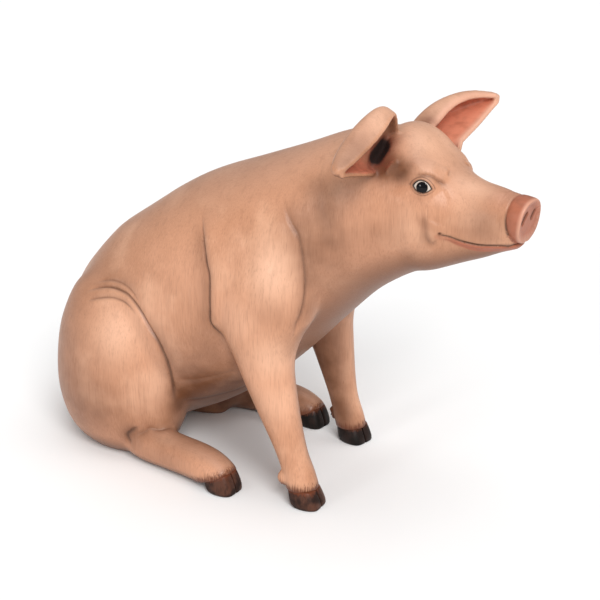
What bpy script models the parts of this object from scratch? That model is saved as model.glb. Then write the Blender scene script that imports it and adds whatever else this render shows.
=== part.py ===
"""A life-size painted resin statue of a seated pig, in metres.

The pig faces +X, its left side is +Y, and it sits on the floor at z = 0.
The flesh is lofted whole, melted together and smoothed, then parted where a
person would name its parts.  Eyes and claws are pieces of their own.
"""
import math

import bmesh
import bpy
import numpy as np
from mathutils import Matrix, Vector

# ---------------------------------------------------------------- driving sizes

VOXEL = 0.007               # grid that melts the thick forms into one
SOFTEN = 12                 # rounds of smoothing over that grid
FLESH_FACES = 3200          # triangles of the whole skin before it is parted
GAP = 0.0004                # clearance between neighbouring solids
RING = 32                   # points round a section
STEPS = 4                   # sections lofted between two named ones
CUT_RING = 12               # the same for the plain cutters that part the limbs
CUT_STEPS = 1
ROD_POINTS = 24
SIDES = {"right": -1, "left": 1}
CUTTERS = "cutters"

# Trunk and neck: back x, z; belly x, z; half width; widest level; squareness
TORSO = (
    (-0.590, 0.120, -0.550, 0.050, 0.060, 0.50, 2.0),
    (-0.619, 0.210, -0.490, 0.010, 0.124, 0.50, 2.0),
    (-0.604, 0.343, -0.380, 0.026, 0.166, 0.48, 2.1),
    (-0.501, 0.469, -0.285, 0.073, 0.185, 0.47, 2.2),
    (-0.386, 0.552, -0.195, 0.121, 0.195, 0.47, 2.2),
    (-0.250, 0.635, -0.100, 0.188, 0.198, 0.48, 2.2),
    (-0.110, 0.690, -0.005, 0.275, 0.190, 0.50, 2.2),
    (0.005, 0.734, 0.080, 0.362, 0.172, 0.50, 2.1),
    (0.095, 0.771, 0.165, 0.445, 0.148, 0.47, 2.1),
    (0.175, 0.792, 0.240, 0.497, 0.124, 0.44, 2.1),
    (0.255, 0.785, 0.298, 0.526, 0.098, 0.45, 2.2),
)

# Skull and muzzle, in the same terms
HEAD = (
    (0.150, 0.750, 0.210, 0.498, 0.070, 0.50, 2.1),
    (0.225, 0.802, 0.262, 0.512, 0.102, 0.48, 2.2),
    (0.275, 0.796, 0.305, 0.522, 0.103, 0.45, 2.3),
    (0.322, 0.758, 0.342, 0.537, 0.090, 0.48, 2.4),
    (0.356, 0.731, 0.375, 0.551, 0.076, 0.45, 2.3),
    (0.395, 0.716, 0.412, 0.566, 0.063, 0.42, 2.2),
    (0.432, 0.706, 0.448, 0.579, 0.053, 0.45, 2.1),
    (0.472, 0.697, 0.490, 0.593, 0.046, 0.50, 2.1),
)
# Brow over each eye: centre, half sizes
BROW = ((0.309, 0.050, 0.729), (0.030, 0.024, 0.021))

# Legs: x, y, z, half depth, half width along each limb, for the left side
FORELEG = (
    (-0.010, 0.085, 0.640, 0.070, 0.048),
    (-0.020, 0.108, 0.560, 0.116, 0.064),
    (-0.006, 0.126, 0.460, 0.112, 0.072),
    (-0.012, 0.143, 0.385, 0.100, 0.064),
    (0.000, 0.150, 0.300, 0.064, 0.053),
    (0.026, 0.150, 0.215, 0.048, 0.042),
    (0.050, 0.148, 0.145, 0.037, 0.035),
    (0.066, 0.147, 0.100, 0.033, 0.032),
    (0.081, 0.147, 0.062, 0.036, 0.036),
    (0.096, 0.148, 0.025, 0.038, 0.036),
)
THIGH = (
    (-0.410, 0.080, 0.430, 0.050, 0.040),
    (-0.410, 0.100, 0.370, 0.125, 0.085),
    (-0.412, 0.115, 0.290, 0.160, 0.108),
    (-0.414, 0.126, 0.210, 0.172, 0.112),
    (-0.413, 0.134, 0.130, 0.170, 0.108),
    (-0.414, 0.133, 0.065, 0.152, 0.092),
    (-0.414, 0.121, 0.020, 0.120, 0.062),
    (-0.410, 0.109, -0.014, 0.084, 0.040),
)
HINDFOOT = (
    (-0.370, 0.150, 0.060, 0.050, 0.050),
    (-0.320, 0.166, 0.044, 0.046, 0.046),
    (-0.240, 0.178, 0.044, 0.043, 0.040),
    (-0.175, 0.184, 0.045, 0.043, 0.039),
    (-0.128, 0.187, 0.040, 0.042, 0.040),
    (-0.092, 0.189, 0.028, 0.036, 0.036),
)
# How far each forefoot stands back and out from the table above, and its shoulder back
FORE_STEP = {"right": {"back": 0.0065, "out": -0.009, "shoulder": 0.0},
             "left": {"back": 0.093, "out": 0.027, "shoulder": 0.040}}
HIND_BACK = {"right": -0.004, "left": 0.026}
STEP_HEIGHT = 0.45          # below this a foreleg leans to its foot

# Ears: points from root to tip along the lower rim, the back, the crest and the upper rim
EARS = {
    "left": (
        ((0.300, 0.055, 0.732), (0.290, 0.120, 0.750), (0.286, 0.180, 0.772), (0.287, 0.230, 0.793),
         (0.290, 0.262, 0.801)),
        ((0.222, 0.065, 0.735), (0.200, 0.125, 0.756), (0.207, 0.180, 0.778), (0.242, 0.230, 0.796),
         (0.280, 0.267, 0.806)),
        ((0.200, 0.035, 0.765), (0.208, 0.090, 0.800), (0.222, 0.145, 0.822), (0.250, 0.205, 0.831),
         (0.275, 0.260, 0.821)),
        ((0.262, 0.035, 0.768), (0.248, 0.090, 0.786), (0.250, 0.140, 0.808), (0.263, 0.200, 0.820),
         (0.289, 0.253, 0.818)),
    ),
    "right": (
        ((0.262, 0.075, 0.706), (0.256, 0.130, 0.720), (0.252, 0.180, 0.735), (0.250, 0.228, 0.749),
         (0.253, 0.262, 0.753)),
        ((0.218, 0.068, 0.725), (0.206, 0.125, 0.748), (0.206, 0.175, 0.762), (0.214, 0.226, 0.768),
         (0.236, 0.268, 0.759)),
        ((0.205, 0.035, 0.765), (0.230, 0.096, 0.846), (0.226, 0.152, 0.842), (0.224, 0.208, 0.811),
         (0.232, 0.261, 0.774)),
        ((0.238, 0.035, 0.772), (0.255, 0.092, 0.846), (0.262, 0.148, 0.829), (0.255, 0.215, 0.787),
         (0.248, 0.256, 0.773)),
    ),
}
EAR_WALL = 0.009
EAR_THIN = 0.7              # share of the wall lost at the tip
EAR_STEPS = 2

SNOUT = {"x": 0.484, "z": 0.653, "half_width": 0.047, "half_height": 0.047, "depth": 0.030, "nod": 8.0,
         "round": 0.008, "taper": 0.95, "points": 24}
NOSTRIL = {"out": 0.016, "up": 0.008, "half": (0.008, 0.0035, 0.0075)}
EYE = {"x": 0.316, "y": 0.070, "z": 0.704, "radius": 0.019}
BALL_POINTS = 16
EYE_POINTS = 14
NOSTRIL_POINTS = 12
TAIL = {"root": (-0.600, 0.0, 0.300), "thick": 0.009, "tip": 0.0035, "points": 8}
# The tail's line, from inside the rump
TAIL_LINE = (
    (0.030, 0.000, 0.000), (0.000, 0.000, 0.000), (-0.014, 0.003, 0.002), (-0.024, 0.014, 0.003),
    (-0.028, 0.027, -0.007), (-0.030, 0.029, -0.023), (-0.032, 0.019, -0.036), (-0.035, 0.002, -0.038),
    (-0.039, -0.010, -0.028), (-0.044, -0.008, -0.013), (-0.048, 0.003, -0.006),
)
CLAW = {"length": 0.032, "width": 0.0165, "height": 0.040, "cleft": 0.0035, "rake": 0.013, "points": 14,
        "point": 0.30}
# Share of the claw's height, and its outline's size there
CLAW_LEVELS = ((0.0, 0.93), (0.12, 1.0), (0.55, 0.97), (1.0, 0.90))
FORE_TOE = (0.106, 0.148)
HIND_TOE = (-0.086, 0.190)
HIND_HEADING = 0.10
HIND_TILT = 0.60            # the hind coronets slope down to the heel
DEWCLAW = {"behind": 0.053, "apart": 0.017, "z": 0.062, "half": (0.013, 0.009, 0.016)}

# Where the flesh is parted: round cutters that start on a plane, and two plain blocks
EAR_CUT = {"start": (0.245, 0.085, 0.765), "along": (0.0, 0.86, 0.5), "length": 0.30, "radius": 0.13}
HEAD_CUT = {"start": (0.235, 0.0, 0.66), "along": (0.93, 0.0, 0.36), "length": 0.40, "radius": 0.32}
NECK_CUT = {"start": (0.10, 0.0, 0.58), "along": (0.85, 0.0, 0.50), "length": 0.35, "radius": 0.35}
FOOT_CUT = {"start": (-0.290, 0.175, 0.0), "along": (1.0, 0.12, 0.0), "length": 0.30, "radius": 0.11}
CORONET_CUT = (0.18, 0.12, 0.10)
FLOOR_CUT = (3.0, 3.0, 0.2)
LIMB_SWELL = 1.20           # a limb's cutter stands this far outside its own loft

SHARP = 35.0                # degrees between faces that show as an edge
# Linear colour, roughness
PAINT = {
    "skin": ((0.76, 0.38, 0.25), 0.50),
    "snout_pink": ((0.64, 0.24, 0.17), 0.42),
    "ear_pink": ((0.72, 0.31, 0.22), 0.50),
    "hoof_brown": ((0.045, 0.025, 0.018), 0.35),
    "glass_black": ((0.012, 0.011, 0.012), 0.08),
}


# ---------------------------------------------------------------- small helpers

def clear_scene():
    for thing in list(bpy.data.objects):
        bpy.data.objects.remove(thing)


def collection(name):
    made = bpy.data.collections.new(name)
    bpy.context.scene.collection.children.link(made)
    return made


def spline(rows, steps):
    """Catmull-Rom curve through rows of numbers, with steps spans between two rows."""
    rows = np.array(rows, float)
    padded = np.vstack([2 * rows[0] - rows[1], rows, 2 * rows[-1] - rows[-2]])
    made = []
    for i in range(1, len(padded) - 2):
        a, b, c, d = padded[i - 1:i + 3]
        for t in np.arange(steps) / steps:
            made.append(0.5 * (2 * b + (c - a) * t + (2 * a - 5 * b + 4 * c - d) * t * t
                               + (3 * b - a - 3 * c + d) * t ** 3))
    made.append(rows[-1])
    return np.array(made)


def mesh_object(name, mesh, group):
    """An object for a mesh; one in the cutters' group is shown as wires and never rendered."""
    made = bpy.data.objects.new(name, mesh)
    group.objects.link(made)
    if group.name == CUTTERS:
        made.hide_render = True
        made.display_type = "WIRE"
    return made


def bridge(rings):
    """A closed skin over a list of rings of points."""
    bm = bmesh.new()
    loops = [[bm.verts.new(p) for p in ring] for ring in rings]
    count = len(loops[0])
    for a, b in zip(loops, loops[1:]):
        for i in range(count):
            j = (i + 1) % count
            bm.faces.new((a[i], a[j], b[j], b[i]))
    for cap in (loops[0], loops[-1]):
        bm.faces.new(cap)
    bmesh.ops.recalc_face_normals(bm, faces=bm.faces)
    mesh = bpy.data.meshes.new("loft")
    bm.to_mesh(mesh)
    bm.free()
    return mesh


def rounded(angle, squareness):
    """A point of a unit superellipse."""
    power = 2.0 / squareness
    c, s = math.cos(angle), math.sin(angle)
    return math.copysign(abs(c) ** power, c), math.copysign(abs(s) ** power, s)


def profile_loft(rows):
    """A body lofted through sections given by their back and belly points."""
    rings = []
    for bx, bz, ux, uz, width, level, square in spline(rows, STEPS):
        top, bottom = Vector((bx, 0, bz)), Vector((ux, 0, uz))
        middle = bottom.lerp(top, level)
        ring = []
        for k in range(RING):
            across, up = rounded(2 * math.pi * k / RING, square)
            reach = (top - middle) if up > 0 else (middle - bottom)
            ring.append(middle + reach * up + Vector((0, width * across, 0)))
        rings.append(ring)
    return bridge(rings)


def stepped(rows, back, out, shoulder):
    """Rows of a foreleg whose foot is moved, the lean fading out up the leg."""
    made = []
    for x, y, z, depth, width in rows:
        low = 1 - min(max(z / STEP_HEIGHT, 0), 1)
        made.append((x - shoulder - (back - shoulder) * low, y + out * low, z, depth, width))
    return made


def grown(rows, share):
    return [(x, y, z, depth * share, width * share) for x, y, z, depth, width in rows]


def limb_loft(rows, side, ring_points=RING, steps=STEPS):
    """A limb lofted along its centre line, mirrored by side."""
    track = spline(rows, steps)
    centres = [Vector((r[0], r[1] * side, r[2])) for r in track]
    rings = []
    for i, row in enumerate(track):
        before, after = centres[max(i - 1, 0)], centres[min(i + 1, len(track) - 1)]
        along = (after - before).normalized()
        depth = (Vector((0, 1, 0)).cross(along)).normalized()
        width = along.cross(depth)
        ring = []
        for k in range(ring_points):
            angle = 2 * math.pi * k / ring_points
            ring.append(centres[i] + depth * row[3] * math.cos(angle) + width * row[4] * math.sin(angle))
        rings.append(ring)
    return bridge(rings)


def applied(thing):
    """Bakes an object's modifiers into its mesh."""
    graph = bpy.context.evaluated_depsgraph_get()
    mesh = bpy.data.meshes.new_from_object(thing.evaluated_get(graph))
    thing.modifiers.clear()
    thing.data = mesh
    return thing


def boolean(thing, other, operation):
    cut = thing.modifiers.new(operation.lower(), "BOOLEAN")
    cut.operation = operation
    cut.object = other
    split = thing.modifiers.new("split", "TRIANGULATE")
    split.min_vertices = 5
    applied(thing)
    return thing


def remove(*things):
    for thing in things:
        bpy.data.objects.remove(thing)


def rod(name, cut, side, group):
    """A plain round cutter that starts on a plane and runs along a direction, mirrored by side."""
    bm = bmesh.new()
    (x, y, z), (u, v, w) = cut["start"], cut["along"]
    turn = Vector((0, 0, 1)).rotation_difference(Vector((u, v * side, w)))
    place = Matrix.Translation((x, y * side, z)) @ turn.to_matrix().to_4x4()
    bmesh.ops.create_cone(bm, cap_ends=True, segments=ROD_POINTS, radius1=cut["radius"],
                          radius2=cut["radius"], depth=cut["length"],
                          matrix=place @ Matrix.Translation((0, 0, cut["length"] / 2)))
    mesh = bpy.data.meshes.new(name)
    bm.to_mesh(mesh)
    bm.free()
    return mesh_object(name, mesh, group)


def swollen(thing, name, amount, group):
    """A copy of a cutter, grown by an amount along its normals."""
    grown = mesh_object(name, thing.data.copy(), group)
    push = grown.modifiers.new("grow", "DISPLACE")
    push.strength = amount
    push.mid_level = 0.0
    return applied(grown)


def take(flesh, cutter, name, parts, cutters):
    """Cuts the piece inside cutter off the flesh, with a thin gap, as its own object."""
    split = cutter.modifiers.new("split", "TRIANGULATE")
    split.min_vertices = 4
    applied(cutter)
    piece = mesh_object(name, flesh.data.copy(), parts)
    boolean(piece, cutter, "INTERSECT")
    wider = swollen(cutter, name + "_gap", GAP, cutters)
    boolean(flesh, wider, "DIFFERENCE")
    keep_largest(piece)
    keep_largest(flesh)
    remove(wider, cutter)
    return piece


def socket(flesh, filler, cutters):
    """Makes room in the flesh for a piece that sits in it."""
    wider = swollen(filler, "socket", GAP, cutters)
    boolean(flesh, wider, "DIFFERENCE")
    keep_largest(flesh)
    remove(wider)


def keep_largest(thing):
    """Drops crumbs that a cut leaves beside the main body."""
    bm = bmesh.new()
    bm.from_mesh(thing.data)
    left, groups = set(bm.verts), []
    while left:
        group, edge = set(), [left.pop()]
        while edge:
            vert = edge.pop()
            group.add(vert)
            for e in vert.link_edges:
                near = e.other_vert(vert)
                if near in left:
                    left.discard(near)
                    edge.append(near)
        groups.append(group)
    largest = max(groups, key=len)
    bmesh.ops.delete(bm, geom=[v for v in bm.verts if v not in largest], context="VERTS")
    bm.to_mesh(thing.data)
    bm.free()


def ball(centre, half, segments=BALL_POINTS):
    """A closed ellipsoid."""
    bm = bmesh.new()
    bmesh.ops.create_uvsphere(bm, u_segments=segments, v_segments=segments * 5 // 8, radius=1.0,
                              matrix=Matrix.Translation(centre) @ Matrix.Diagonal((*half, 1)))
    mesh = bpy.data.meshes.new("ball")
    bm.to_mesh(mesh)
    bm.free()
    return mesh


def block(name, size, place, group):
    """A box of a size, moved by a matrix."""
    bm = bmesh.new()
    bmesh.ops.create_cube(bm, size=1.0, matrix=place @ Matrix.Diagonal((*size, 1)))
    mesh = bpy.data.meshes.new(name)
    bm.to_mesh(mesh)
    bm.free()
    return mesh_object(name, mesh, group)


# ---------------------------------------------------------------- thick forms

def melt(meshes, group):
    """Joins overlapping closed forms into one smooth skin."""
    bm = bmesh.new()
    for mesh in meshes:
        bm.from_mesh(mesh)
    mesh = bpy.data.meshes.new("flesh")
    bm.to_mesh(mesh)
    bm.free()
    flesh = mesh_object("flesh", mesh, group)
    remesh = flesh.modifiers.new("melt", "REMESH")
    remesh.mode = "VOXEL"
    remesh.voxel_size = VOXEL
    smooth = flesh.modifiers.new("soften", "SMOOTH")
    smooth.factor = 0.5
    smooth.iterations = SOFTEN
    applied(flesh)
    light = flesh.modifiers.new("lighten", "DECIMATE")
    light.ratio = FLESH_FACES / sum(len(p.vertices) - 2 for p in flesh.data.polygons)
    return applied(flesh)


def foot_place(word, fore):
    """Where a foot stands: its matrix, seen from above."""
    side = SIDES[word]
    if fore:
        step = FORE_STEP[word]
        return Matrix.Translation((FORE_TOE[0] - step["back"], (FORE_TOE[1] + step["out"]) * side, 0))
    centre = Matrix.Translation((HIND_TOE[0] - HIND_BACK[word], HIND_TOE[1] * side, 0))
    return centre @ Matrix.Rotation(side * HIND_HEADING, 4, "Z")


def thick_forms():
    forms = [profile_loft(TORSO), profile_loft(HEAD)]
    for word, side in SIDES.items():
        (x, y, z), half = BROW
        forms.append(ball((x, y * side, z), half))
        forms.append(limb_loft(stepped(FORELEG, **FORE_STEP[word]), side))
        forms.append(limb_loft(THIGH, side))
        forms.append(limb_loft([(x - HIND_BACK[word], *rest) for x, *rest in HINDFOOT], side))
        foot = foot_place(word, True)
        for inner in (-1, 1):
            nub = Vector((-DEWCLAW["behind"], DEWCLAW["apart"] * inner, DEWCLAW["z"]))
            forms.append(ball(foot @ nub, DEWCLAW["half"]))
    return forms


# ---------------------------------------------------------------- ears, snout, tail

def ear_shell(word, group):
    """A cupped ear: a C-shaped section swept through the four lines, thinning to the tip."""
    rails = [spline([(x, y * SIDES[word], z) for x, y, z in rail], EAR_STEPS) for rail in EARS[word]]
    sections = [[Vector(p) for p in spline(row, EAR_STEPS)] for row in zip(*rails)]
    rings = []
    for i, section in enumerate(sections):
        share = i / (len(sections) - 1)
        half = EAR_WALL / 2 * (1 - EAR_THIN * share ** 2)
        ahead, behind = sections[min(i + 1, len(sections) - 1)], sections[max(i - 1, 0)]
        outer, inner = [], []
        for k, point in enumerate(section):
            round_c = section[min(k + 1, len(section) - 1)] - section[max(k - 1, 0)]
            out = round_c.cross(ahead[k] - behind[k]).normalized() * half
            outer.append(point + out)
            inner.append(point - out)
        rings.append(outer + inner[::-1])
    return mesh_object("ear_shell", bridge(rings), group)


def snout_place():
    nod = Matrix.Rotation(math.radians(SNOUT["nod"]), 4, "Y")
    return Matrix.Translation((SNOUT["x"], 0, SNOUT["z"])) @ nod


def snout_disc(group, cutters):
    """The nose plate: a round-edged disc with two slit nostrils."""
    bm = bmesh.new()
    bmesh.ops.create_cone(bm, cap_ends=True, segments=SNOUT["points"], radius1=1.0,
                          radius2=SNOUT["taper"], depth=1.0)
    bmesh.ops.scale(bm, verts=bm.verts, vec=(SNOUT["half_height"], SNOUT["half_width"], SNOUT["depth"]))
    front = [e for e in bm.edges if min(v.co.z for v in e.verts) > 0.4 * SNOUT["depth"]]
    bmesh.ops.bevel(bm, geom=front, offset=SNOUT["round"], segments=3, profile=0.5, affect="EDGES",
                    material=-1)
    bmesh.ops.transform(bm, verts=bm.verts, matrix=snout_place() @ Matrix.Rotation(math.radians(90), 4, "Y"))
    mesh = bpy.data.meshes.new("snout")
    bm.to_mesh(mesh)
    bm.free()
    disc = mesh_object("snout", mesh, group)
    for inner in (-1, 1):
        spot = snout_place() @ Vector((SNOUT["depth"] / 2, NOSTRIL["out"] * inner, NOSTRIL["up"]))
        hole = mesh_object("nostril", ball(spot, NOSTRIL["half"], NOSTRIL_POINTS), cutters)
        boolean(disc, hole, "DIFFERENCE")
        remove(hole)
    return disc


def tail_tube(group):
    """A short tail that winds into a curl close to the rump."""
    points = [Vector(TAIL["root"]) + Vector(p) for p in spline(TAIL_LINE, 1)]
    rings = []
    across = Vector((0, 0, 1))
    for i, point in enumerate(points):
        along = (points[min(i + 1, len(points) - 1)] - points[max(i - 1, 0)]).normalized()
        across = (across - along * across.dot(along)).normalized()
        other = along.cross(across)
        thick = TAIL["thick"] + (TAIL["tip"] - TAIL["thick"]) * i / (len(points) - 1)
        angles = [2 * math.pi * k / TAIL["points"] for k in range(TAIL["points"])]
        rings.append([point + thick * (across * math.cos(a) + other * math.sin(a)) for a in angles])
    return mesh_object("tail", bridge(rings), group)


def claw(name, place, inner, tilt, group):
    """One half of a cloven hoof: flat on the floor, its top sloping by tilt along the foot."""
    size = CLAW
    rings = []
    for share, grow in CLAW_LEVELS:
        ring = []
        for k in range(size["points"]):
            angle = 2 * math.pi * k / size["points"]
            fore, across = math.cos(angle), math.sin(angle)
            x = size["length"] * grow * fore - size["rake"] * share
            y = size["width"] * grow * across * (1 - size["point"] * max(fore, 0) ** 2)
            ring.append(Vector((x, y, (size["height"] + math.tan(tilt) * x) * share)))
        rings.append(ring)
    mesh = bridge(rings)
    offset = inner * (size["width"] + size["cleft"] / 2)
    mesh.transform(place @ Matrix.Translation((0, offset, 0)))
    return mesh_object(name, mesh, group)


def trim_coronet(flesh, place, tilt, cutters):
    """Ends the flesh of a foot just above its claws."""
    slope = Matrix.Rotation(-tilt, 4, "Y") @ Matrix.Translation((0, 0, -CORONET_CUT[2] / 2))
    top = Matrix.Translation((0, 0, CLAW["height"] + GAP))
    cutter = block("coronet", CORONET_CUT, place @ top @ slope, cutters)
    boolean(flesh, cutter, "DIFFERENCE")
    remove(cutter)


# ---------------------------------------------------------------- the statue

def paint(thing, name):
    colour, roughness = PAINT[name]
    made = bpy.data.materials.get(name)
    if made is None:
        made = bpy.data.materials.new(name)
        made.use_nodes = True
        shader = made.node_tree.nodes["Principled BSDF"]
        shader.inputs["Base Color"].default_value = (*colour, 1)
        shader.inputs["Roughness"].default_value = roughness
        shader.inputs["Metallic"].default_value = 0.0
        made.diffuse_color = (*colour, 1)
    thing.data.materials.clear()
    thing.data.materials.append(made)
    thing.data.shade_smooth()
    thing.data.set_sharp_from_angle(angle=math.radians(SHARP))


def to_origin(things):
    """Moves the statue so that its origin is under the middle of its box, on the floor."""
    points = np.array([v.co for thing in things for v in thing.data.vertices])
    low, high = points.min(axis=0), points.max(axis=0)
    shift = Matrix.Translation((-(low[0] + high[0]) / 2, -(low[1] + high[1]) / 2, 0))
    for thing in things:
        thing.data.transform(shift)
    print("origin moved by", *(round(v, 5) for v in shift.translation))


def build():
    clear_scene()
    pig = collection("seated_pig_statue")
    cutters = collection(CUTTERS)
    flesh = melt(thick_forms(), pig)

    for word in SIDES:
        shell = ear_shell(word, cutters)
        boolean(flesh, shell, "UNION")
        remove(shell)
    for word in SIDES:
        trim_coronet(flesh, foot_place(word, True), 0.0, cutters)
        trim_coronet(flesh, foot_place(word, False), HIND_TILT, cutters)
    floor = block("floor", FLOOR_CUT, Matrix.Translation((0, 0, -FLOOR_CUT[2] / 2)), cutters)
    boolean(flesh, floor, "DIFFERENCE")
    remove(floor)
    keep_largest(flesh)

    head = take(flesh, rod("head_cut", HEAD_CUT, 1, cutters), "head", pig, cutters)
    neck = take(flesh, rod("neck_cut", NECK_CUT, 1, cutters), "neck", pig, cutters)
    snout = snout_disc(pig, cutters)
    socket(head, snout, cutters)
    for word, side in SIDES.items():
        ear = take(head, rod("ear_cut", EAR_CUT, side, cutters), f"ear_{word}", pig, cutters)
        paint(ear, "ear_pink")
        eye_ball = ball((EYE["x"], EYE["y"] * side, EYE["z"]), [EYE["radius"]] * 3, EYE_POINTS)
        eye = mesh_object(f"eye_{word}", eye_ball, pig)
        paint(eye, "glass_black")
        socket(head, eye, cutters)
    paint(head, "skin")
    paint(neck, "skin")
    paint(snout, "snout_pink")
    tail = tail_tube(pig)
    socket(flesh, tail, cutters)
    paint(tail, "skin")
    for word, side in SIDES.items():
        rows = grown(stepped(FORELEG, **FORE_STEP[word]), LIMB_SWELL)
        cutter = mesh_object("foreleg_cut", limb_loft(rows, side, CUT_RING, CUT_STEPS), cutters)
        paint(take(flesh, cutter, f"foreleg_{word}", pig, cutters), "skin")
        x, y, z = FOOT_CUT["start"]
        cut = dict(FOOT_CUT, start=(x - HIND_BACK[word], y, z))
        paint(take(flesh, rod("foot_cut", cut, side, cutters), f"hindfoot_{word}", pig, cutters), "skin")
        cutter = mesh_object("thigh_cut", limb_loft(grown(THIGH, LIMB_SWELL), side, CUT_RING, CUT_STEPS),
                             cutters)
        paint(take(flesh, cutter, f"thigh_{word}", pig, cutters), "skin")
        for inner, which in ((-side, "inner"), (side, "outer")):
            paint(claw(f"foreclaw_{word}_{which}", foot_place(word, True), inner, 0.0, pig), "hoof_brown")
            paint(claw(f"hindclaw_{word}_{which}", foot_place(word, False), inner, HIND_TILT, pig),
                  "hoof_brown")
    flesh.name = "trunk"
    paint(flesh, "skin")
    to_origin(pig.objects)


build()
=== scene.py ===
import math

import bmesh
import bpy
import numpy as np
from mathutils import Matrix, Vector
from mathutils.kdtree import KDTree


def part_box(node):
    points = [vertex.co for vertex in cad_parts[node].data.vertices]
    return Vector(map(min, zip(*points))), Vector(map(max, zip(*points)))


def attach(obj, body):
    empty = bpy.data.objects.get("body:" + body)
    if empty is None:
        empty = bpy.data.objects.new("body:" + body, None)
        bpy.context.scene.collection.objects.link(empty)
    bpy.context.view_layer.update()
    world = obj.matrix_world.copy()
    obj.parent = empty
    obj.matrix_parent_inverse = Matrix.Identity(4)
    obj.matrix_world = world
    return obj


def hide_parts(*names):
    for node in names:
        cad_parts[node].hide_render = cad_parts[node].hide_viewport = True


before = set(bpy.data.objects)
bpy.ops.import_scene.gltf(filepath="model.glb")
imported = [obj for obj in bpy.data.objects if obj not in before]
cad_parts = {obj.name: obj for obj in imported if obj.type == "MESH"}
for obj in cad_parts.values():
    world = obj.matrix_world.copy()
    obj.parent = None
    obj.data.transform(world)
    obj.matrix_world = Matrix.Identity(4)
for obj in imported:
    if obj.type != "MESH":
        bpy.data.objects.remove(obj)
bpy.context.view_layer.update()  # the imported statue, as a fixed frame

# All tables below are in the statue's own axes: +X forward, +Y its left, floor at z = 0.
# The frame stands a little further forward, and the eye shows by how much.
eye = {
    "socket": (0.316, 0.070, 0.704),    # the plain eye it takes the place of
    "middle": (0.3070, 0.0600, 0.7020),
    "radius": 0.0280,
    "look": (0.28, 0.94, 0.13),
    "slit": (1.0, 0.0, -0.07),          # from the back corner to the front one
    "halfLength": 0.0164,
    "upper": 0.0121, "lower": 0.0091,   # how far the lids open from the slit
    "lidEdge": 0.0012, "lidThick": 0.0030,
    "lidStart": 0.0030, "lidEnd": 0.0150, "crease": 0.0055, "segments": (64, 48),
    "iris": 0.0109,
}
low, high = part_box("eye_left")
offset = (Vector(low) + Vector(high)) / 2 - Vector(eye["socket"])
sides = {"right": -1, "left": 1}
print("frame loaded, offset", *(round(v, 4) for v in offset))


def smoothPath(points, steps):
    # Catmull-Rom curve through rows of numbers
    rows = np.array(points, float)
    padded = np.vstack([2 * rows[0] - rows[1], rows, 2 * rows[-1] - rows[-2]])
    t = (np.arange(steps) / steps)[:, None]
    made = []
    for i in range(1, len(padded) - 2):
        a, b, c, d = padded[i - 1:i + 3]
        made.append(0.5 * (2 * b + (c - a) * t + (2 * a - 5 * b + 4 * c - d) * t ** 2
                           + (3 * b - a - 3 * c + d) * t ** 3))
    return np.vstack(made + [rows[-1:]])


def smoothStep(x, start, end):
    t = np.clip((x - start) / (end - start), 0, 1)
    return t * t * (3 - 2 * t)


def bell(d, width, power=2):
    # 1 at nought, falling away over the width
    return np.exp(-(d / width) ** power)


def rowDot(a, b):
    return np.einsum("nk,nk->n", a, b)


def onSide(points, side):
    # a table's points on the left side (1) or the right (-1)
    return np.array(points, float) * (1, side, 1)


def distances(points, spot, side=1):
    return np.linalg.norm(points - onSide(spot, side), axis=1)


def unique(things):
    # each once, in the order they come, so that every run gives the same mesh
    return list(dict.fromkeys(things))


def toMesh(bm, name):
    mesh = bpy.data.meshes.new(name)
    bm.to_mesh(mesh)
    bm.free()
    return mesh


def addObject(name, mesh):
    made = bpy.data.objects.new(name, mesh)
    bpy.context.scene.collection.objects.link(made)
    return made


def bakeModifiers(thing):
    graph = bpy.context.evaluated_depsgraph_get()
    mesh = bpy.data.meshes.new_from_object(thing.evaluated_get(graph))
    thing.modifiers.clear()
    thing.data = mesh
    return mesh


def addRing(bm, points):
    made = bmesh.ops.create_circle(bm, segments=len(points), radius=1.0)["verts"]
    for vert, point in zip(made, points):
        vert.co = point
    return unique(edge for vert in made for edge in vert.link_edges)


def loft(bm, rings):
    loops = [addRing(bm, ring) for ring in rings]
    for near, far in zip(loops, loops[1:]):
        bmesh.ops.bridge_loops(bm, edges=near + far)
    bmesh.ops.edgeloop_fill(bm, edges=loops[0])
    bmesh.ops.edgeloop_fill(bm, edges=loops[-1])


def addBall(bm, middle, half):
    bmesh.ops.create_icosphere(bm, subdivisions=3, radius=1.0,
                               matrix=Matrix.Translation(middle) @ Matrix.Diagonal((*half, 1)))


def addTube(bm, points, radii, ringPoints):
    # a round bar along a path, closed at both ends
    points = [Vector(p) for p in points]
    across = Vector((0.3, 0.2, 1.0))
    rings = []
    for i, point in enumerate(points):
        along = (points[min(i + 1, len(points) - 1)] - points[max(i - 1, 0)]).normalized()
        across = (across - along * across.dot(along)).normalized()
        other = along.cross(across)
        angles = [2 * math.pi * k / ringPoints for k in range(ringPoints)]
        radius = float(radii[i])
        rings.append([point + (across * math.cos(a) + other * math.sin(a)) * radius for a in angles])
    loft(bm, rings)


# The flesh is lofted from tables of rows, and then melted into one skin
flesh = {
    "ring": 48, "steps": 5,
    "coarse": 0.005, "fine": 0.0034,
    "softness": 5.9e-4,   # smoothing rounds are this over the voxel's area
    "settle": 4, "triangles": 192000,
}

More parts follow.
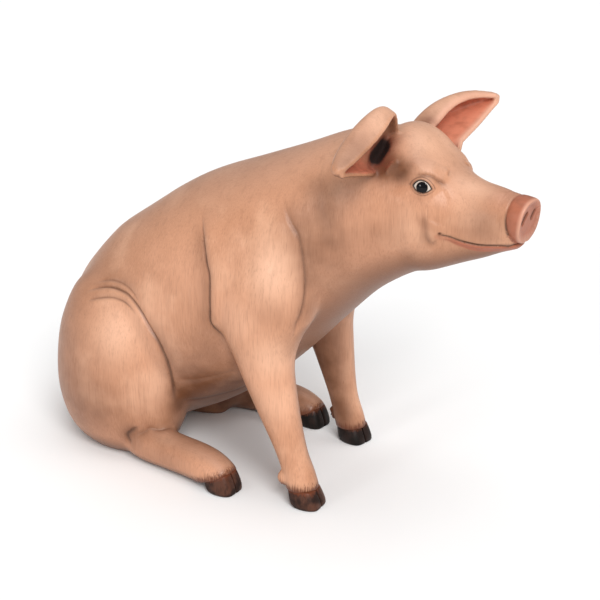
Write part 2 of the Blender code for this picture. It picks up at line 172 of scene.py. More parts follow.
# Trunk and neck: back x, z; belly x, z; half width; widest level; squareness
torso = (
    (-0.590, 0.120, -0.550, 0.050, 0.060, 0.50, 2.0),
    (-0.619, 0.210, -0.490, 0.010, 0.124, 0.50, 2.0),
    (-0.604, 0.343, -0.380, 0.026, 0.166, 0.48, 2.1),
    (-0.501, 0.469, -0.285, 0.073, 0.185, 0.47, 2.2),
    (-0.386, 0.552, -0.195, 0.121, 0.195, 0.47, 2.2),
    (-0.250, 0.635, -0.100, 0.188, 0.198, 0.48, 2.2),
    (-0.110, 0.690, -0.005, 0.275, 0.190, 0.50, 2.2),
    (0.005, 0.734, 0.080, 0.362, 0.172, 0.50, 2.1),
    (0.095, 0.771, 0.165, 0.445, 0.148, 0.47, 2.1),
    (0.175, 0.792, 0.240, 0.497, 0.124, 0.44, 2.1),
    (0.255, 0.785, 0.298, 0.526, 0.098, 0.45, 2.2),
)
# Skull and muzzle, in the same terms
skull = (
    (0.150, 0.750, 0.210, 0.498, 0.070, 0.50, 2.1),
    (0.225, 0.802, 0.262, 0.512, 0.102, 0.48, 2.2),
    (0.275, 0.796, 0.305, 0.522, 0.103, 0.45, 2.3),
    (0.318, 0.758, 0.3415, 0.537, 0.089, 0.48, 2.35),
    (0.352, 0.728, 0.3745, 0.551, 0.0735, 0.45, 2.2),
    (0.392, 0.712, 0.412, 0.566, 0.0615, 0.43, 2.15),
    (0.432, 0.706, 0.446, 0.582, 0.053, 0.45, 2.1),
    (0.470, 0.697, 0.480, 0.596, 0.045, 0.50, 2.1),
)
brow = {"middle": (0.304, 0.048, 0.7285), "half": (0.028, 0.024, 0.021)}
lowerLip = {"middle": (0.4600, 0.0, 0.6035), "half": (0.0265, 0.0300, 0.0140)}

# Legs: x, y, z, half depth, half width along each limb, for the left side
foreleg = (
    (-0.010, 0.085, 0.640, 0.070, 0.048),
    (-0.020, 0.108, 0.560, 0.116, 0.064),
    (-0.006, 0.126, 0.460, 0.112, 0.072),
    (-0.012, 0.143, 0.385, 0.100, 0.064),
    (0.000, 0.150, 0.300, 0.064, 0.053),
    (0.026, 0.150, 0.215, 0.048, 0.042),
    (0.050, 0.148, 0.145, 0.037, 0.035),
    (0.066, 0.147, 0.100, 0.033, 0.032),
    (0.081, 0.147, 0.062, 0.034, 0.0345),
    (0.094, 0.148, 0.025, 0.035, 0.035),
)
thigh = (
    (-0.410, 0.080, 0.430, 0.050, 0.040),
    (-0.410, 0.100, 0.370, 0.125, 0.085),
    (-0.412, 0.115, 0.290, 0.160, 0.108),
    (-0.414, 0.126, 0.210, 0.172, 0.112),
    (-0.413, 0.134, 0.130, 0.170, 0.108),
    (-0.414, 0.133, 0.065, 0.152, 0.092),
    (-0.414, 0.121, 0.020, 0.120, 0.062),
    (-0.410, 0.109, -0.014, 0.084, 0.040),
)
hindfoot = (
    (-0.370, 0.150, 0.060, 0.050, 0.050),
    (-0.320, 0.166, 0.044, 0.046, 0.046),
    (-0.240, 0.178, 0.044, 0.043, 0.040),
    (-0.175, 0.184, 0.045, 0.043, 0.039),
    (-0.128, 0.187, 0.040, 0.042, 0.040),
    (-0.092, 0.189, 0.030, 0.037, 0.036),
    (-0.074, 0.189, 0.026, 0.030, 0.034),
)
# How far each forefoot stands back and out from the table above, and its shoulder back
foreStep = {
    "right": {"back": 0.0065, "out": -0.009, "shoulder": 0.0},
    "left": {"back": 0.093, "out": 0.027, "shoulder": 0.040},
}
hindBack = {"right": -0.004, "left": 0.026}
leanHeight = 0.45   # below this a foreleg leans to its foot
# Where the melted forms are smoothed more: x, y, z, radius
softZones = (
    (-0.020, 0.170, 0.590, 0.110), (0.070, 0.150, 0.560, 0.080), (-0.400, 0.150, 0.415, 0.090),
    (-0.500, 0.110, 0.430, 0.085), (-0.540, 0.0, 0.440, 0.090), (-0.386, 0.0, 0.552, 0.110),
    (-0.250, 0.0, 0.635, 0.110), (-0.110, 0.0, 0.690, 0.110), (0.005, 0.0, 0.734, 0.110),
    (0.110, 0.0, 0.775, 0.070), (-0.290, 0.185, 0.340, 0.060),
)
softRounds = 60


def profileRings(rows):
    rings = []
    turns = np.linspace(0, 2 * math.pi, flesh["ring"], endpoint=False)
    for bx, bz, ux, uz, width, level, square in smoothPath(rows, flesh["steps"]):
        top, bottom = Vector((bx, 0, bz)), Vector((ux, 0, uz))
        middle = bottom.lerp(top, level)
        ring = []
        for turn in turns:
            c, s = math.cos(turn), math.sin(turn)
            across = math.copysign(abs(c) ** (2 / square), c)
            up = math.copysign(abs(s) ** (2 / square), s)
            reach = (top - middle) if up > 0 else (middle - bottom)
            ring.append(middle + reach * up + Vector((0, width * across, 0)))
        rings.append(ring)
    return rings


def limbRings(rows, side):
    track = smoothPath(rows, flesh["steps"])
    middles = [Vector((row[0], row[1] * side, row[2])) for row in track]
    turns = np.linspace(0, 2 * math.pi, flesh["ring"], endpoint=False)
    rings = []
    for i, row in enumerate(track):
        along = (middles[min(i + 1, len(track) - 1)] - middles[max(i - 1, 0)]).normalized()
        depth = Vector((0, 1, 0)).cross(along).normalized()
        width = along.cross(depth)
        rings.append([middles[i] + depth * row[3] * math.cos(a) + width * row[4] * math.sin(a)
                      for a in turns])
    return rings


def stepBack(point, word):
    # a foreleg's point, moved to where that foot stands
    step = foreStep[word]
    down = 1 - min(max(point[2] / leanHeight, 0), 1)
    x = point[0] - step["shoulder"] - (step["back"] - step["shoulder"]) * down
    return (x, point[1] + step["out"] * down, *point[2:])


def limbForms(bm):
    addBall(bm, lowerLip["middle"], lowerLip["half"])
    for word, side in sides.items():
        x, y, z = brow["middle"]
        addBall(bm, (x, y * side, z), brow["half"])
        loft(bm, limbRings([stepBack(row, word) for row in foreleg], side))
        loft(bm, limbRings(thigh, side))
        loft(bm, limbRings([(x - hindBack[word], *rest) for x, *rest in hindfoot], side))


claw = {
    "length": 0.032, "width": 0.0165, "height": 0.040, "cleft": 0.0035, "rake": 0.013, "ring": 36,
    "foreToe": (0.106, 0.148), "foreHeading": -0.13,
    "hindToe": (-0.086, 0.190), "hindHeading": -0.02, "tilt": 0.42,
    "overlap": 0.003, "trimReach": 0.075,   # how the flesh is cut off at the claw's top
}
dewclaw = {"behind": 0.053, "apart": 0.017, "z": 0.058, "half": (0.0125, 0.009, 0.016)}


def footPlace(word, fore):
    side = sides[word]
    if fore:
        step = foreStep[word]
        middle = (claw["foreToe"][0] - step["back"], (claw["foreToe"][1] + step["out"]) * side, 0)
    else:
        middle = (claw["hindToe"][0] - hindBack[word], claw["hindToe"][1] * side, 0)
    heading = claw["foreHeading"] if fore else claw["hindHeading"]
    return Matrix.Translation(middle) @ Matrix.Rotation(side * heading, 4, "Z")


# Each ear: points from root to tip along the lower rim, the back, the crest and the upper rim
ears = {
    "left": (
        ((0.290, 0.055, 0.732), (0.283, 0.120, 0.750), (0.286, 0.180, 0.772), (0.287, 0.230, 0.793),
         (0.287, 0.262, 0.805)),
        ((0.222, 0.065, 0.735), (0.200, 0.125, 0.756), (0.207, 0.180, 0.778), (0.242, 0.230, 0.796),
         (0.280, 0.267, 0.807)),
        ((0.200, 0.035, 0.765), (0.208, 0.090, 0.800), (0.222, 0.145, 0.820), (0.250, 0.205, 0.829),
         (0.275, 0.260, 0.818)),
        ((0.248, 0.035, 0.768), (0.245, 0.090, 0.789), (0.247, 0.140, 0.811), (0.258, 0.200, 0.820),
         (0.288, 0.253, 0.816)),
    ),
    "right": (
        ((0.212, 0.080, 0.716), (0.223, 0.130, 0.727), (0.233, 0.175, 0.738), (0.2415, 0.225, 0.750),
         (0.250, 0.260, 0.756)),
        ((0.206, 0.068, 0.725), (0.199, 0.125, 0.746), (0.203, 0.175, 0.760), (0.213, 0.226, 0.767),
         (0.236, 0.266, 0.760)),
        ((0.205, 0.035, 0.765), (0.231, 0.096, 0.846), (0.2285, 0.152, 0.840), (0.2265, 0.208, 0.807),
         (0.234, 0.259, 0.7725)),
        ((0.226, 0.035, 0.775), (0.254, 0.092, 0.843), (0.266, 0.148, 0.820), (0.261, 0.215, 0.787),
         (0.251, 0.254, 0.7675)),
    ),
}
earWall = {"root": 0.0095, "tip": 0.0080, "steps": 6, "rimRoot": 0.0060, "rimTip": 0.0056, "rimPoints": 12,
           "tipBall": 0.0086, "easing": 7, "roundEasing": 3}

snout = {
    "x": 0.482, "z": 0.6535, "halfWidth": 0.0434, "halfHeight": 0.0430,
    "nod": 8.0, "ring": 48, "square": 2.3,
}
# The nose plate from back to front: how far along its axis, and its size there
snoutRows = ((-0.016, 0.93), (-0.008, 0.99), (0.006, 1.0), (0.0115, 0.975), (0.0145, 0.92), (0.0148, 0.85),
             (0.0132, 0.74), (0.0120, 0.50), (0.0120, 0.05))
# The same in full, as it is carved once the skin is fine, from the face to behind the groove
plateLine = ((0.0112, 0.0), (0.0112, 0.55), (0.0120, 0.74), (0.0142, 0.84), (0.0152, 0.90), (0.0143, 0.955),
             (0.0110, 0.988), (0.0040, 1.0), (-0.0050, 0.995), (-0.0110, 0.975), (-0.0138, 0.945), (-0.0150, 0.905),
             (-0.0164, 0.940), (-0.0200, 0.965), (-0.0300, 1.0), (-0.0420, 1.03))
# Where the groove runs along the axis: height above the plate's middle, place on the axis
grooveLine = ((-0.046, 0.0020), (-0.0345, -0.0015), (-0.0215, -0.0089), (0.0, -0.0149), (0.0145, -0.0169),
              (0.046, -0.0195))

tail = {"root": (-0.600, 0.0, 0.300), "thick": 0.009, "tip": 0.0036, "ring": 16, "steps": 4}
tailLine = (
    (0.030, 0.000, 0.000), (0.000, 0.000, 0.000), (-0.014, 0.003, 0.002), (-0.024, 0.014, 0.003),
    (-0.028, 0.027, -0.007), (-0.030, 0.029, -0.023), (-0.032, 0.019, -0.036), (-0.035, 0.002, -0.038),
    (-0.039, -0.010, -0.028), (-0.044, -0.008, -0.013), (-0.048, 0.003, -0.006),
)


def neighbourMean(mesh, values, rounds, weight=0.5):
    # each value drawn towards the mean of its neighbours, over and over
    edges = np.empty(len(mesh.edges) * 2, int)
    mesh.edges.foreach_get("vertices", edges)
    edges = edges.reshape(-1, 2)
    count = np.bincount(edges.ravel(), minlength=len(values))[:, None]
    for _ in range(rounds):
        total = np.zeros_like(values)
        for axis in range(3):
            total[:, axis] = (np.bincount(edges[:, 0], values[edges[:, 1], axis], len(values))
                              + np.bincount(edges[:, 1], values[edges[:, 0], axis], len(values)))
        values = values + weight * (total / count - values)
    return values


def softenZones(mesh):
    points = np.empty(len(mesh.vertices) * 3)
    mesh.vertices.foreach_get("co", points)
    points = points.reshape(-1, 3)
    weight = np.zeros(len(points))
    for *spot, radius in softZones:
        for side in sides.values():
            d = distances(points, spot, side)
            weight = np.maximum(weight, smoothStep(radius - d, 0, 0.5 * radius))
    points = neighbourMean(mesh, points, softRounds, 0.5 * weight[:, None])
    mesh.vertices.foreach_set("co", points.ravel())
    mesh.update()


def eased(path, rounds):
    # a path with its corners drawn in
    path = np.array(path)
    for _ in range(rounds):
        path[1:-1] = 0.5 * path[1:-1] + 0.25 * (path[:-2] + path[2:])
    return path


def addEar(bm, word):
    # a cupped sheet with a C-shaped section, and a rolled bar along each rim
    steps = earWall["steps"]
    rails = [eased(smoothPath(rail, steps), earWall["easing"]) for rail in onSide(ears[word], sides[word])]
    sections = [[Vector(p) for p in eased(smoothPath(row, steps), earWall["roundEasing"])] for row in zip(*rails)]
    rings = []
    last = len(sections) - 1
    for i, section in enumerate(sections):
        half = 0.5 * (earWall["root"] + (earWall["tip"] - earWall["root"]) * (i / last) ** 2)
        ahead, behind = sections[min(i + 1, last)], sections[max(i - 1, 0)]
        outer, inner = [], []
        for k, point in enumerate(section):
            round_ = section[min(k + 1, len(section) - 1)] - section[max(k - 1, 0)]
            out = round_.cross(ahead[k] - behind[k]).normalized() * half
            outer.append(point + out)
            inner.append(point - out)
        rings.append(outer + inner[::-1])
    loft(bm, rings)
    for rim in (rails[0], rails[-1]):
        radii = np.linspace(earWall["rimRoot"], earWall["rimTip"], len(rim))
        addTube(bm, rim, radii, earWall["rimPoints"])
    tip = Vector(np.mean([rail[-1] for rail in rails], axis=0))
    addBall(bm, tip, (earWall["tipBall"],) * 3)


def snoutPlace():
    return Matrix.Translation((snout["x"], 0, snout["z"])) @ Matrix.Rotation(math.radians(snout["nod"]), 4, "Y")


def plateRadius(turns):
    # the plate's outline: its reach from the middle at each turn
    c, s = np.abs(np.cos(turns)), np.abs(np.sin(turns))
    power = snout["square"]
    return 1 / ((c / snout["halfWidth"]) ** power + (s / snout["halfHeight"]) ** power) ** (1 / power)


def addSnout(bm):
    turns = np.linspace(0, 2 * math.pi, snout["ring"], endpoint=False)
    reach = plateRadius(turns)
    place = snoutPlace()
    loft(bm, [[place @ Vector((x, r * size * math.cos(a), r * size * math.sin(a))) for a, r in zip(turns, reach)]
              for x, size in snoutRows])


def addTail(bm):
    line = smoothPath(tailLine, tail["steps"]) + np.array(tail["root"])
    addTube(bm, line, np.linspace(tail["thick"], tail["tip"], len(line)), tail["ring"])


def melted(name, bm, voxel, rounds):
    # overlapping closed forms made into one smooth skin
    thing = addObject(name, toMesh(bm, name))
    melt = thing.modifiers.new("melt", "REMESH")
    melt.mode = "VOXEL"
    melt.voxel_size = voxel
    soften = thing.modifiers.new("soften", "SMOOTH")
    soften.factor = 0.5
    soften.iterations = rounds
    bakeModifiers(thing)
    return thing


def trimFeet(bm):
    # the flesh ends level at the floor and just inside the top of each claw
    bmesh.ops.bisect_plane(bm, geom=bm.verts[:] + bm.edges[:] + bm.faces[:], plane_co=(0, 0, 0),
                           plane_no=(0, 0, -1), clear_outer=True)
    for word in sides:
        for fore, tilt in ((True, 0.0), (False, claw["tilt"])):
            place = footPlace(word, fore)
            top = place @ Vector((0, 0, claw["height"] - claw["overlap"]))
            down = place.to_3x3() @ Vector((math.sin(tilt), 0, -math.cos(tilt)))
            near = [v for v in bm.verts if (v.co - top).length < claw["trimReach"]]
            edges = unique(e for v in near for e in v.link_edges)
            faces = unique(f for v in near for f in v.link_faces)
            bmesh.ops.bisect_plane(bm, geom=near + edges + faces, plane_co=top, plane_no=down, clear_outer=True)
    bmesh.ops.holes_fill(bm, edges=[e for e in bm.edges if e.is_boundary], sides=0)


bm = bmesh.new()
loft(bm, profileRings(torso))
loft(bm, profileRings(skull))
limbForms(bm)
core = melted("core", bm, flesh["coarse"], round(flesh["softness"] / flesh["coarse"] ** 2))
softenZones(core.data)
print("core", len(core.data.vertices))

bm = bmesh.new()
bm.from_mesh(core.data)
bpy.data.objects.remove(core)
for word in sides:
    addEar(bm, word)
    for inner in (-1, 1):
        nub = Vector((-dewclaw["behind"], dewclaw["apart"] * inner, dewclaw["z"]))
        addBall(bm, footPlace(word, True) @ nub, dewclaw["half"])
addSnout(bm)
addTail(bm)
skin = melted("pigSkin", bm, flesh["fine"], flesh["settle"])
print("skin melted", len(skin.data.vertices))


# Each fold is a line on the skin, with its groove's depth and width; the height, width and side of
# the flesh raised beside it (1 is the rear or lower side); the strength and width of a fine dark
# line of painted shade in its crease; and the strength, width and fuller side of the soft brown
# brushed round it, partly airbrushed brown and partly painted shade in the fold.
folds = {
    "behindShoulder": {
        "path": ((-0.162, 0.144, 0.602), (-0.134, 0.177, 0.549), (-0.117, 0.190, 0.501), (-0.109, 0.193, 0.473),
                 (-0.110, 0.193, 0.409), (-0.109, 0.189, 0.372), (-0.075, 0.186, 0.335), (-0.045, 0.180, 0.290)),
        "groove": (0.0034, 0.0038), "raise": (0.0060, 0.024, -1), "line": (0.80, 0.0024), "brushAndShade": (0.50, 0.020, 1),
        "leans": True},
    "frontShoulder": {
        "path": ((0.028, 0.148, 0.668), (0.050, 0.153, 0.640), (0.069, 0.159, 0.613), (0.087, 0.159, 0.588),
                 (0.095, 0.157, 0.549), (0.098, 0.151, 0.495), (0.098, 0.154, 0.459), (0.092, 0.160, 0.426),
                 (0.084, 0.165, 0.401), (0.076, 0.161, 0.356)),
        "groove": (0.0030, 0.0050), "raise": (0.0056, 0.026, 1), "line": (0.46, 0.0024), "brushAndShade": (0.50, 0.032, -1),
        "leans": True},
    "neckFold": {
        "path": ((0.102, 0.108, 0.722), (0.126, 0.137, 0.663), (0.142, 0.143, 0.600), (0.150, 0.136, 0.540)),
        "groove": (0.0035, 0.020), "raise": (0, 0.02, 1), "line": (0, 0.002), "brushAndShade": (0.38, 0.034, 0)},
    "thighWrinkle": {
        "path": ((-0.463, 0.187, 0.368), (-0.435, 0.185, 0.382), (-0.395, 0.180, 0.391), (-0.366, 0.180, 0.391),
                 (-0.333, 0.186, 0.386), (-0.300, 0.192, 0.363), (-0.272, 0.195, 0.329), (-0.256, 0.194, 0.306)),
        "groove": (0.0032, 0.0032), "raise": (0.0040, 0.009, 1), "line": (0.60, 0.0022), "brushAndShade": (0.30, 0.010, -1)},
    "thighWrinkle2": {
        "path": ((-0.452, 0.195, 0.352), (-0.412, 0.195, 0.367), (-0.374, 0.188, 0.373), (-0.331, 0.189, 0.366),
                 (-0.302, 0.193, 0.346)),
        "groove": (0.0026, 0.0030), "raise": (0.0026, 0.009, 1), "line": (0.45, 0.0020), "brushAndShade": (0.22, 0.010, -1)},
    "thighWrinkle3": {
        "path": ((-0.442, 0.178, 0.394), (-0.402, 0.173, 0.405), (-0.362, 0.173, 0.405), (-0.328, 0.181, 0.397),
                 (-0.298, 0.189, 0.376)),
        "groove": (0.0020, 0.0030), "raise": (0.0020, 0.008, 1), "line": (0.30, 0.0020), "brushAndShade": (0.30, 0.012, -1)},
    "thighFold": {
        "path": ((-0.300, 0.192, 0.363), (-0.272, 0.195, 0.329), (-0.248, 0.193, 0.295), (-0.236, 0.182, 0.248),
                 (-0.240, 0.165, 0.193), (-0.245, 0.148, 0.140)),
        "groove": (0.0040, 0.0040), "raise": (0.0045, 0.018, 1), "line": (0.70, 0.0026), "brushAndShade": (0.55, 0.020, -1)},
    "bellyFold": {
        "path": ((-0.236, 0.160, 0.209), (-0.198, 0.159, 0.215), (-0.161, 0.151, 0.226), (-0.121, 0.141, 0.242),
                 (-0.088, 0.128, 0.254)),
        "groove": (0.0012, 0.0080), "raise": (0.0016, 0.016, 1), "line": (0.01, 0.0030), "brushAndShade": (0.40, 0.024, 0)},
    "underBelly": {
        "path": ((-0.247, 0.155, 0.146), (-0.236, 0.128, 0.144), (-0.207, 0.112, 0.151), (-0.165, 0.096, 0.165),
                 (-0.125, 0.076, 0.182), (-0.080, 0.070, 0.200)),
        "groove": (0.0008, 0.0050), "raise": (0, 0.012, 1), "line": (0.62, 0.0065), "brushAndShade": (0.95, 0.028, 0)},
    "hockFold": {
        "path": ((-0.322, 0.212, 0.069), (-0.294, 0.200, 0.082), (-0.284, 0.195, 0.092), (-0.264, 0.184, 0.089),
                 (-0.253, 0.164, 0.089), (-0.250, 0.145, 0.095)),
        "groove": (0.0022, 0.0042), "raise": (0.0026, 0.012, 1), "line": (0.25, 0.0026), "brushAndShade": (0.32, 0.014, 0)},
    "heelFold": {
        "path": ((-0.300, 0.209, 0.096), (-0.320, 0.215, 0.083), (-0.331, 0.217, 0.070), (-0.332, 0.213, 0.056),
                 (-0.327, 0.209, 0.042)),
        "groove": (0.0042, 0.0048), "raise": (0, 0.012, 1), "line": (0.70, 0.0034), "brushAndShade": (0.60, 0.016, 0)},
    "cheek": {
        "path": ((0.332, 0.089, 0.658), (0.325, 0.092, 0.647), (0.326, 0.092, 0.630), (0.328, 0.090, 0.613),
                 (0.335, 0.085, 0.599), (0.345, 0.080, 0.591)),
        "groove": (0.0026, 0.0075), "raise": (0.0030, 0.012, -1), "line": (0.0, 0.0030), "brushAndShade": (0.55, 0.0095, 0)},
    "underBrow": {
        "path": ((0.291, 0.084, 0.722), (0.305, 0.080, 0.7265), (0.325, 0.072, 0.7255), (0.339, 0.064, 0.7185),
                 (0.355, 0.055, 0.7100)),
        "groove": (0.0026, 0.0036), "raise": (0.0034, 0.008, -1), "line": (0.25, 0.0018), "brushAndShade": (0.60, 0.0065, 0)},
    "frown": {
        "path": ((0.3400, 0.030, 0.7330), (0.3440, 0.036, 0.7290), (0.3455, 0.043, 0.7240)),
        "groove": (0.0016, 0.0026), "raise": (0.0012, 0.005, 1), "line": (0.20, 0.0016), "brushAndShade": (0.15, 0.005, 0)},
    "earRidge": {
        "path": ((0.246, 0.103, 0.722), (0.244, 0.094, 0.731), (0.254, 0.088, 0.744), (0.263, 0.084, 0.751)),
        "groove": (-0.0040, 0.0038), "raise": (0, 0.01, 1), "line": (0.01, 0.002), "brushAndShade": (0, 0.004, 0)},
}
mouth = {
    "path": ((0.353, -0.081, 0.6195), (0.371, -0.074, 0.6165), (0.391, -0.065, 0.6095), (0.418, -0.054, 0.6045),
             (0.443, -0.045, 0.6045), (0.4643, -0.0325, 0.6072), (0.4776, -0.018, 0.6086), (0.4850, 0.0, 0.6095)),
    "depth": 0.0046, "width": 0.0016, "reach": 0.03, "pit": 0.0060, "pitWidth": 0.0032,
    "lipRaise": 0.0022, "lipWidth": 0.0050, "upperRaise": 0.0012, "upperAway": 0.006, "upperWidth": 0.005,
    # the last two widths: the near-black painted shade along the mouth's gap and in its corners
    "lipBand": 0.0125, "frontBand": 0.024, "mouthShadeWidth": 0.0016, "cornerShade": 0.0034,
}
# Height and side of each nostril's slit on the nose plate's face, from its middle
nostrils = {
    "right": ((-0.0235, 0.0010), (-0.0190, 0.0090), (-0.0125, 0.0150)),
    "left": ((0.0120, 0.0040), (0.0150, 0.0090), (0.0190, 0.0140)),
    "depth": 0.012, "width": 0.0038, "rim": 0.0003, "reach": 0.02,
}
# Wrinkles round the muzzle: how far behind the groove, depth, width
muzzleRings = ((0.0070, 0.0008, 0.0016), (0.0125, 0.0009, 0.0017), (0.0190, 0.0008, 0.0018))
plateDip = {"path": ((0.0145, 0, -0.034), (0.0145, 0, -0.040), (0.0145, 0, -0.048)),
            "depth": 0.0014, "width": 0.0042, "reach": 0.02}


def layFolds(body):
    # draws each fold's line down or up onto the skin
    tree = KDTree(body.count)
    for i, point in enumerate(body.points):
        tree.insert(point, i)
    tree.balance()
    laid = {}
    for word, side in sides.items():
        for name, fold in folds.items():
            leans = fold.get("leans") and word == "left"
            path = onSide([stepBack(p, "left") if leans else p for p in fold["path"]], side)
            for k, point in enumerate(path):
                spot, i, far = tree.find(point)
                path[k] += body.normals[i] * (np.array(spot) - point).dot(body.normals[i])
            laid[name, word] = smoothPath(path, 6)
    return laid


def throughMouth():
    near = list(mouth["path"])
    far = [(x, -y, z) for x, y, z in reversed(near[:-1])]
    return smoothPath(near + far, 6)


def nostrilPath(word):
    place = snoutPlace()
    return smoothPath([tuple(place @ Vector((plateLine[0][0], y, z))) for y, z in nostrils[word]], 4)


def smoothPoints(bm, verts, factor):
    bmesh.ops.smooth_vert(bm, verts=verts, factor=factor, use_axis_x=True, use_axis_y=True, use_axis_z=True)


def refine(bm, spots, reach):
    # halves the faces that lie within reach of these points
    tree = KDTree(len(spots))
    for i, spot in enumerate(spots):
        tree.insert(spot, i)
    tree.balance()
    near = {v for v in bm.verts if tree.find(v.co)[2] < reach}
    edges = [e for e in bm.edges if e.verts[0] in near and e.verts[1] in near]
    bmesh.ops.subdivide_edges(bm, edges=edges, cuts=1, use_grid_fill=True)


def nearest(points, path):
    # for each point: distance to a path, share of the path's length, offset from it, its direction there
    start, run = path[:-1], np.diff(path, axis=0)
    length = np.linalg.norm(run, axis=1)
    before = np.concatenate([[0], np.cumsum(length)[:-1]])
    t = np.einsum("nmk,mk->nm", points[:, None] - start[None], run) / (length ** 2)
    t = np.clip(t, 0, 1)
    gap = points[:, None] - (start[None] + run[None] * t[..., None])
    far = np.linalg.norm(gap, axis=2)
    best = far.argmin(axis=1)
    row = np.arange(len(points))
    share = (before[best] + t[row, best] * length[best]) / length.sum()
    return far[row, best], share, gap[row, best], run[best] / length[best, None]


class Skin:
    # the skin's points and normals as arrays
    def __init__(self, mesh):
        self.mesh = mesh
        self.count = len(mesh.vertices)
        self.points = np.empty(self.count * 3)
        mesh.vertices.foreach_get("co", self.points)
        self.points = self.points.reshape(-1, 3)
        self.readNormals()

    def readNormals(self):
        self.normals = np.empty(self.count * 3)
        self.mesh.vertex_normals.foreach_get("vector", self.normals)
        self.normals = self.normals.reshape(-1, 3)

    def write(self):
        self.mesh.vertices.foreach_set("co", self.points.ravel())
        self.mesh.update()
        self.readNormals()

    def near(self, path, reach):
        low, high = path.min(axis=0) - reach, path.max(axis=0) + reach
        return np.where(((self.points > low) & (self.points < high)).all(axis=1))[0]

    def beside(self, path, reach):
        # the points near a path, and what nearest() says of them
        rows = self.near(path, reach)
        return rows, *nearest(self.points[rows], path)

    def hand(self, rows, d, gap, along):
        # which side of a path the points lie on, as it runs along the skin
        return rowDot(np.cross(along, self.normals[rows]), gap) / np.maximum(d, 1e-6)

    def push(self, rows, amount):
        self.points[rows] += self.normals[rows] * amount[:, None]


def pressFold(body, name, word):
    depth, width = folds[name]["groove"]
    height, breadth, rear = folds[name]["raise"]
    reach = 4 * max(width, breadth)
    found = body.beside(foldLines[name, word], reach)
    rows, d, share, gap, along = (values[found[1] < reach] for values in found)
    fade = smoothStep(share, 0, 0.22) * smoothStep(1 - share, 0, 0.22)
    beside = np.clip(body.hand(rows, d, gap, along) * -sides[word] * rear, 0, 1)
    swell = height * beside * (d / breadth) * np.exp(1 - d / breadth)
    body.push(rows, (swell - depth * bell(d, width)) * fade)


def pressMouth(body):
    path = throughMouth()
    rows, d, share, gap, along = body.beside(path, mouth["reach"])
    fade = smoothStep(share, 0, 0.05) * smoothStep(1 - share, 0, 0.05)
    hand = body.hand(rows, d, gap, along)
    lip = mouth["lipRaise"] * np.clip(hand, 0, 1) * bell(d - mouth["lipWidth"], 0.6 * mouth["lipWidth"])
    upper = mouth["upperRaise"] * np.clip(-hand, 0, 1) * bell(d - mouth["upperAway"], mouth["upperWidth"])
    body.push(rows, (lip + upper - mouth["depth"] * bell(d, mouth["width"])) * fade)
    for end in (path[0], path[-1]):
        rows = body.near(end[None], mouth["reach"])
        body.push(rows, -mouth["pit"] * bell(distances(body.points[rows], end), mouth["pitWidth"]))


def inPlate(points):
    # along the nose plate's axis, share of its outline, turn round it, height above its middle
    place = snoutPlace()
    local = (points - np.array(place.translation)) @ np.array(place.to_3x3())
    turns = np.arctan2(local[:, 2], local[:, 1])
    return local[:, 0], np.hypot(local[:, 1], local[:, 2]) / plateRadius(turns), turns, local[:, 2]


def grooveAt(heights):
    return np.interp(heights, *np.array(grooveLine).T)


def pressPlate(body):
    # snaps the nose to the plate's own profile, seen from a point inside it
    along, size, turns, height = inPlate(body.points)
    groove = grooveAt(height)
    lip = (size > 1.04) & (turns < -0.6) & (turns > -2.5)
    rows = np.where((along > groove - 0.018) & (size < 1.25) & ~lip)[0]
    along, size, turns, groove = along[rows], size[rows], turns[rows], groove[rows]
    line = smoothPath(plateLine, 4)
    bend, deepest = 0.004, -0.0150   # behind the bend, the profile is stretched to reach the groove
    stretched = bend + (line[None, :, 0] - bend) * (groove[:, None] - bend) / (deepest - bend)
    lineAlong = np.where(line[None, :, 0] < bend, stretched, line[None, :, 0])
    heart = 0.4 * (groove + 0.0112)
    scale = plateRadius(turns)
    lineAngle = np.arctan2(lineAlong - heart[:, None], line[None, :, 1] * scale[:, None])
    angle = np.arctan2(along - heart, size * scale)
    # the profile's angle falls from the face to behind the groove
    place = np.array([np.interp(a, row[::-1], np.arange(len(row))[::-1]) for a, row in zip(angle, lineAngle)])
    low = np.clip(place.astype(int), 0, line.shape[0] - 2)
    part = place - low
    pick = np.arange(len(rows))
    newAlong = lineAlong[pick, low] * (1 - part) + lineAlong[pick, low + 1] * part
    newSize = line[low, 1] * (1 - part) + line[low + 1, 1] * part
    blend = smoothStep(along, groove - 0.0160, groove - 0.0030)
    newAlong = along * (1 - blend) + newAlong * blend
    reach = (size * (1 - blend) + newSize * blend) * scale
    local = np.column_stack([newAlong, reach * np.cos(turns), reach * np.sin(turns)])
    place = snoutPlace()
    body.points[rows] = local @ np.array(place.to_3x3()).T + np.array(place.translation)


def roundNostril(body, word, behind):
    # the points round a nostril, how far across the plate's face they are from it, and its axis
    path = nostrilPath(word)
    rows = body.near(path, nostrils["reach"])
    rows = rows[inPlate(body.points[rows])[0] > behind]
    axis = np.array(snoutPlace().to_3x3())[:, 0]
    gap = nearest(body.points[rows], path)[2]
    return rows, np.linalg.norm(gap - np.outer(gap @ axis, axis), axis=1), axis


def pressNostril(body, word):
    rows, d, axis = roundNostril(body, word, 0)
    hole = nostrils["depth"] * bell(d, nostrils["width"], 4)
    rim = nostrils["rim"] * bell(d - 2.2 * nostrils["width"], nostrils["width"])
    body.points[rows] += axis * (rim - hole)[:, None]


def pressMuzzle(body):
    # fine wrinkles over the muzzle behind the nose plate, and the dip under the plate's middle
    along, size, turns, height = inPlate(body.points)
    rows = np.where(along > -0.06)[0]
    behind = grooveAt(height[rows]) - along[rows]
    amount = np.zeros(len(rows))
    for place, depth, width in muzzleRings:
        amount -= depth * bell(behind - place, width) * smoothStep(height[rows], 0.010, 0.034)
    body.push(rows, amount)
    line = np.array([tuple(snoutPlace() @ Vector(point)) for point in plateDip["path"]])
    rows, d, *_ = body.beside(line, plateDip["reach"])
    body.push(rows, -plateDip["depth"] * bell(d, plateDip["width"]))
